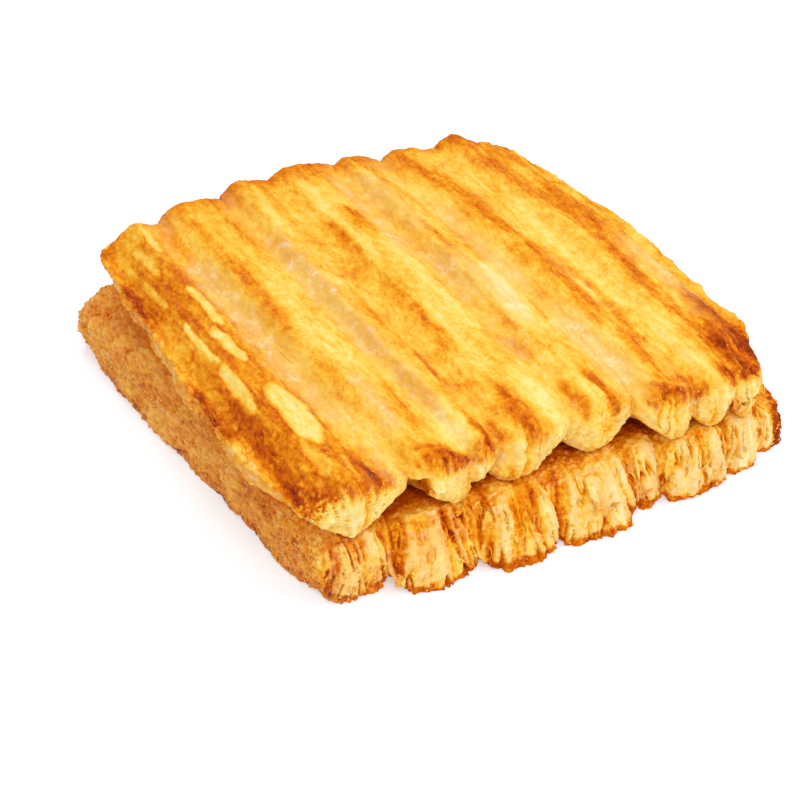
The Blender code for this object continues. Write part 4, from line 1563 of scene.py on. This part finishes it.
def crust_group(tones: CrustTones) -> NodeTree:
    """Node group that turns toast and clearness into colour, roughness and height.

    Fine grain and fine streaks move the toast before it meets the colour ramp, and clear places take a
    translucent tan with whitish specks, partly sugar frost and partly painted glints.

    Args:
        tones: colours of the ramp, and the sizes of the noises.
    Returns:
        the group.
    """
    tree = bpy.data.node_groups.new("crust_bake", "ShaderNodeTree")
    face = tree.interface
    for name, default in (("Toast", 0.4), ("Clear", 0.0), ("Gloss", 0.0), ("Grain", 0.1), ("Streak", 0.08)):
        face.new_socket(name, in_out="INPUT", socket_type="NodeSocketFloat").default_value = default
    for name in ("Clear Tone", "Frost Glint Tone"):
        face.new_socket(name, in_out="INPUT", socket_type="NodeSocketColor")
    for name, kind in (("Color", "Color"), ("Roughness", "Float"), ("Height", "Float")):
        face.new_socket(name, in_out="OUTPUT", socket_type=f"NodeSocket{kind}")
    tool = Tool(tree)
    given = tool.node("NodeGroupInput").outputs
    result = tool.node("NodeGroupOutput")
    grain = tool.noise(tones.grain_cells, 4.0, 0.65)
    streak = tool.noise(tones.streak_cells, 4.0, 0.6)
    broad = tool.noise(tones.broad_cells, 3.0, 0.6)
    move = tool.math("ADD", tool.swing(grain, given["Grain"]), tool.swing(streak, given["Streak"]))
    move = tool.math("ADD", move, tool.swing(broad, tones.broad_share))
    ramp = tool.node("ShaderNodeValToRGB")
    tool.fill(ramp, {"Fac": tool.math("ADD", given["Toast"], move, clamp=True)})
    elements = ramp.color_ramp.elements
    elements[0].position, elements[1].position = tones.stops[0][0], tones.stops[-1][0]
    for place, _ in tones.stops[1:-1]:
        elements.new(place)
    for element, (_, colour) in zip(elements, tones.stops):
        element.color = display(*colour)
    # whitish specks in clear places: partly sugar frost, partly painted glints
    spot = tool.math("ADD", tool.math("MULTIPLY", broad, 0.55), tool.math("MULTIPLY", grain, 0.45))
    speck = tool.math("MULTIPLY", tool.math("SUBTRACT", spot, 0.5), 8.0, clamp=True)
    glaze = tool.mix(speck, given["Clear Tone"], given["Frost Glint Tone"])
    cloudy = tool.math("ADD", 0.55, tool.math("MULTIPLY", broad, 0.6))
    veil = tool.math("MULTIPLY", given["Clear"], cloudy, clamp=True)
    rough = tool.math("SUBTRACT", tones.dry, tool.math("MULTIPLY", given["Gloss"], tones.polish))
    height = tool.math("ADD", tool.math("MULTIPLY", grain, 0.6), tool.math("MULTIPLY", streak, 0.5))
    tool.fill(result, {
        "Color": tool.mix(veil, ramp.outputs["Color"], glaze),
        "Roughness": tool.math("ADD", rough, tool.swing(grain, 0.2), clamp=True),
        "Height": tool.math("ADD", height, tool.math("MULTIPLY", broad, 0.5)),
    })
    return tree


@dataclass(frozen=True)
class CrustFinish:
    """Finish of one slab's crust."""

    name: str
    grain: float
    streak: float
    bump: float
    specular: float
    glaze: float
    clear: tuple
    # colour of the whitish specks in clear places, partly sugar frost and partly painted glints
    frost_glint: tuple

    def material(self, group: NodeTree) -> Material:
        """Principled material fed by the crust group and the mesh's toast, clear and gloss.

        Args:
            group: the crust group.
        Returns:
            the material.
        """
        made, tool, shader = new_material(self.name)
        bake = tool.node("ShaderNodeGroup", node_tree=group)
        gloss = tool.attribute("gloss")
        tool.fill(bake, {
            "Toast": tool.attribute("toast"),
            "Clear": tool.attribute("clear"),
            "Gloss": gloss,
            "Grain": self.grain,
            "Streak": self.streak,
            "Clear Tone": display(*self.clear),
            "Frost Glint Tone": display(*self.frost_glint),
        })
        tool.fill(shader, {
            "Base Color": bake.outputs["Color"],
            "Roughness": bake.outputs["Roughness"],
            "Normal": tool.relief(bake.outputs["Height"], self.bump),
            "Specular IOR Level": self.specular,
            "Coat Roughness": 0.22,
            "Coat Weight": tool.math("MULTIPLY", gloss, self.glaze),
        })
        return made


@dataclass(frozen=True)
class CaramelFinish:
    """Finish of the filling: dark, glossy caramel."""

    thin: tuple = (176, 78, 10)
    thick: tuple = (104, 34, 6)

    def material(self) -> Material:
        """Principled material whose colour follows the sheet's ripples, with slow waves in its gloss."""
        made, tool, shader = new_material("caramel")
        cloud = tool.noise((260.0, 260.0, 260.0), 3.0, 0.55)
        share = tool.math("MULTIPLY", tool.math("ADD", tool.attribute("toast"), cloud), 0.6, clamp=True)
        tool.fill(shader, {
            "Base Color": tool.mix(share, display(*self.thin), display(*self.thick)),
            "Roughness": tool.math("ADD", 0.16, tool.math("MULTIPLY", cloud, 0.2)),
            "Normal": tool.relief(cloud, 0.35),
        })
        return made


@dataclass
class Studio:
    """White floor, soft white surroundings, soft lamps and the camera."""

    camera_place: tuple = (-208.66, -383.24, 292.3)
    yaw: float = 27.915
    pitch: float = 34.0
    lens: float = 117.0
    floor_half: float = 3000.0
    surround: float = 0.66
    lamps: tuple = (
        # place, aimed at, size, power
        ((-150.0, -420.0, 520.0), (0.0, 0.0, 10.0), 420.0, 1.35),
        ((420.0, -260.0, 480.0), (0.0, 0.0, 10.0), 380.0, 1.0),
        ((40.0, 420.0, 560.0), (0.0, 0.0, 20.0), 300.0, 0.9),
    )

    def build(self) -> None:
        """Makes the stage."""
        self.make_floor()
        self.make_world()
        for index, lamp in enumerate(self.lamps):
            self.make_lamp(index, *lamp)
        self.make_camera()
        settings = bpy.context.scene.view_settings
        settings.view_transform = "Standard"
        settings.look = "None"
        settings.exposure = 0.0
        settings.gamma = 1.0

    def make_floor(self) -> None:
        """A white sheet under the pastry."""
        half = self.floor_half * MM
        corners = [(-half, -half, 0.0), (half, -half, 0.0), (half, half, 0.0), (-half, half, 0.0)]
        mesh = bpy.data.meshes.new("floor")
        mesh.from_pydata(corners, [], [(0, 1, 2, 3)])
        floor = bpy.data.objects.new("floor", mesh)
        bpy.context.scene.collection.objects.link(floor)
        made, tool, shader = new_material("floor_white")
        tool.fill(shader, {
            "Base Color": (0.66, 0.73, 0.8, 1.0),
            "Roughness": 0.9,
            "Specular IOR Level": 0.1,
            "Emission Color": (1.0, 1.0, 1.0, 1.0),
            "Emission Strength": 0.42,
        })
        mesh.materials.append(made)

    def make_world(self) -> None:
        """White surroundings: brighter to the camera than to the pastry."""
        world = bpy.data.worlds.new("surroundings")
        world.use_nodes = True
        tool = Tool(world.node_tree)
        ground = world.node_tree.nodes["Background"]
        ground.inputs["Color"].default_value = (1.0, 1.0, 1.0, 1.0)
        rays = tool.node("ShaderNodeLightPath")
        glossy = tool.math("MULTIPLY", rays.outputs["Is Glossy Ray"], -0.35)
        seen = tool.math("MULTIPLY", rays.outputs["Is Camera Ray"], 1.0 - self.surround)
        tool.link(tool.math("ADD", tool.math("ADD", self.surround, glossy), seen), ground.inputs["Strength"])
        bpy.context.scene.world = world

    def make_lamp(self, index: int, place: tuple, aim: tuple, size: float, power: float) -> None:
        """A square soft lamp at a place in millimetres, turned to its aim."""
        light = bpy.data.lights.new(f"lamp_{index + 1}", "AREA")
        light.size = size * MM
        light.energy = power
        lamp = bpy.data.objects.new(light.name, light)
        start = Vector(place) * MM
        turned = (Vector(aim) * MM - start).to_track_quat("-Z", "Y")
        lamp.matrix_world = Matrix.Translation(start) @ turned.to_matrix().to_4x4()
        bpy.context.scene.collection.objects.link(lamp)

    def make_camera(self) -> None:
        """The camera, looking down at the near left corner."""
        data = bpy.data.cameras.new("camera")
        data.lens = self.lens
        data.sensor_width = 36.0
        data.clip_start = 0.01
        data.clip_end = 20.0
        camera = bpy.data.objects.new("camera", data)
        yaw, pitch = math.radians(self.yaw), math.radians(self.pitch)
        ahead = Vector((math.sin(yaw) * math.cos(pitch), math.cos(yaw) * math.cos(pitch), -math.sin(pitch)))
        start = Matrix.Translation(Vector(self.camera_place) * MM)
        camera.matrix_world = start @ ahead.to_track_quat("-Z", "Y").to_matrix().to_4x4()
        bpy.context.scene.collection.objects.link(camera)
        bpy.context.scene.camera = camera


def lower_slab() -> LowerSlab:
    """The lower slab with its sizes."""
    return LowerSlab(
        name="lower_pastry",
        slot=Slot.LOWER,
        seams_front=(-50.4, -37.4, -20.4, -5.4, 13.1, 19.6, 34.0, 43.6, 51.2),
        seams_back=(-51.0, -37.5, -21.5, -7.0, 8.5, 19.0, 32.0, 42.5, 51.5),
        bulge_left=1.0,
        bulge_right=1.2,
        reach_front=(52.2, 57.6, 60.3, 60.3, 56.2, 58.2, 55.4, 52.2),
        reach_back=(55.0, 57.0, 58.8, 57.6, 55.6, 58.0, 56.4, 54.0),
        crest_front=(12.4, 12.5, 12.6, 12.5, 11.8, 12.6, 12.0, 10.0),
        crest_middle=(12.3, 12.1, 12.0, 12.0, 11.9, 12.0, 12.2, 12.2),
        crest_back=(12.4, 12.3, 12.5, 12.4, 12.0, 12.5, 12.3, 11.9),
        belly=-1.2,
        flare=(1.5, 6.0, 7.0, 6.5, 3.5, 2.5, 1.5, 1.0),
        droop=(0.8, 2.6),
        lift=(0.0, 0.0),
        shingle=0.0,
        back_lift=(0.0,) * 8,
        plan_nose=4.6,
        centre=(2.6, 1.5),
        turn=3.0,
        seed=11,
        step_across=0.28,
        step_up=0.28,
        step_along=0.32,
        step_hidden=0.9,
        square_at=(5.0, 19.0),
        top_nose=6.4,
        top_power=3.4,
        edge_nose=4.6,
        fine_front=14.0,
        fine_back=8.0,
        cap_front=34,
        cap_back=22,
        floor=0.0,
    )


def upper_slab() -> UpperSlab:
    """The upper slab with its sizes."""
    return UpperSlab(
        name="upper_pastry",
        slot=Slot.UPPER,
        seams_front=(-47.6, -28.6, -16.6, -9.8, 4.5, 19.5, 30.7, 40.3, 46.8),
        seams_back=(-46.0, -33.4, -18.4, -7.0, 7.6, 17.0, 31.6, 40.2, 45.6),
        bulge_left=3.6,
        bulge_right=6.0,
        reach_front=(52.2, 52.0, 51.2, 51.4, 50.2, 53.4, 53.0, 52.2),
        reach_back=(50.6, 52.2, 54.6, 55.4, 53.8, 52.0, 53.0, 50.4),
        crest_front=(23.2, 24.2, 24.4, 24.8, 24.8, 24.4, 23.9, 23.0),
        crest_middle=(25.2, 26.4, 27.0, 27.4, 27.5, 27.0, 26.2, 24.6),
        crest_back=(26.6, 27.0, 27.3, 27.3, 27.0, 26.5, 26.3, 25.7),
        belly=13.0,
        flare=(1.2, 0.4, 0.2, 0.2, 0.4, 0.8, 0.6, 0.8),
        droop=(3.6, 2.0),
        lift=(3.6, 0.8),
        shingle=1.4,
        back_lift=(4.0, 3.0, 1.6, 0.6, 0.4, 0.6, 1.0, 1.6),
        plan_nose=6.5,
        centre=(0.6, 0.5),
        turn=0.0,
        seed=7,
        sag=(1.1, 0.7, -2.6, 0.3, 0.4, 0.8, 0.8, 2.4),
        keels=(0.5, 0.5, 0.3, 0.5, 0.45, 0.5, 0.4, 0.4),
        tip_shift=(-0.4, 0.75, -0.6, -0.55, -0.1, 0.42, 0.0, -0.1),
    )


def fan_sides(ribbon: int, skin: Skin) -> Array:
    """Chance of a leaf: front ends of the lower ribbons, mostly near the seams between fans."""
    end = smooth_step(-skin.normal[..., 1], 0.45, 0.8)
    outer = (ribbon == 0) & (skin.across < 0.3) | (ribbon == 7) & (skin.across > 0.0)
    high = smooth_step(skin.place[..., 2], 1.5, 4.0) * (skin.place[..., 2] < 10.5)
    return end * (0.08 + smooth_step(np.abs(skin.across), 0.55, 0.9)) * high * ~outer


def fan_ends(ribbon: int, skin: Skin) -> Array:
    """Chance of a crumb: ends of the lower ribbons, all over."""
    return smooth_step(np.abs(skin.normal[..., 1]), 0.3, 0.7) * (skin.place[..., 2] > 0.3)


def petal_faces(ribbon: int, skin: Skin) -> Array:
    """Chance of a crumb: front ends of the upper ribbons and the rim above them."""
    return smooth_step(-skin.normal[..., 1], 0.1, 0.6) * (skin.place[..., 1] < -40.0)


def sugared_side(ribbon: int, skin: Skin) -> Array:
    """Chance of a sugar grain: left side of the lower slab."""
    return (ribbon == 0) * smooth_step(-skin.normal[..., 0], 0.1, 0.6) * (skin.place[..., 2] > 0.3)


def left_top(ribbon: int, skin: Skin) -> Array:
    """Chance of a sugar grain: top of the upper slab, thickest on its left ribbon."""
    share = {0: 1.0, 1: 0.25, 7: 0.5}.get(ribbon, 0.12)
    return share * smooth_step(skin.normal[..., 2], 0.3, 0.8)


def scatter(
    lower: LowerSlab, upper: UpperSlab, lower_finish: Material, upper_finish: Material
) -> None:
    """Plants leaves, crumbs and sugar grains on both slabs.

    Args:
        lower: built lower slab.
        upper: built upper slab.
        lower_finish: its material.
        upper_finish: its material.
    """
    fan_leaves = LeafFlakes("fan_leaves", 56, 3, (2.0, 4.4), (0.44, 0.1), (0.0, 0.35))
    fan_crumbs = Crumbs("fan_crumbs", 420, 4, (0.08, 0.24), (0.42, 0.14), (0.3, 0.8))
    side_sugar = Crumbs("side_sugar", 1400, 5, (0.1, 0.26), (0.6, 0.1), (0.2, 0.7), 0.1)
    petal_crumbs = Crumbs("petal_crumbs", 300, 6, (0.08, 0.2), (0.3, 0.12), (0.2, 0.6))
    top_sugar = Crumbs("top_sugar", 300, 8, (0.05, 0.13), (0.25, 0.16), (0.3, 1.0), 0.8)
    fan_leaves.build(lower, fan_sides, lower_finish)
    fan_crumbs.build(lower, fan_ends, lower_finish)
    side_sugar.build(lower, sugared_side, lower_finish)
    petal_crumbs.build(upper, petal_faces, upper_finish)
    top_sugar.build(upper, left_top, upper_finish)


def main() -> None:
    """Builds the pastry, then the stage."""
    logging.basicConfig(level=logging.INFO, format="%(name)s: %(message)s")
    group = crust_group(CrustTones())
    upper_finish = CrustFinish(
        "upper_crust_bake", 0.44, 0.4, 0.9, 0.07, 0.34, clear=(240, 186, 98), frost_glint=(255, 238, 192)
    ).material(group)
    lower_finish = CrustFinish(
        "lower_crust_bake", 0.44, 0.26, 1.0, 0.05, 0.14, clear=(248, 198, 124), frost_glint=(255, 226, 168)
    ).material(group)
    lower, upper = lower_slab(), upper_slab()
    lower.build(lower_finish)
    FillingSheet().build(CaramelFinish().material())
    upper.build(upper_finish)
    scatter(lower, upper, lower_finish, upper_finish)
    Studio().build()


if __name__ == "__main__":
    main()
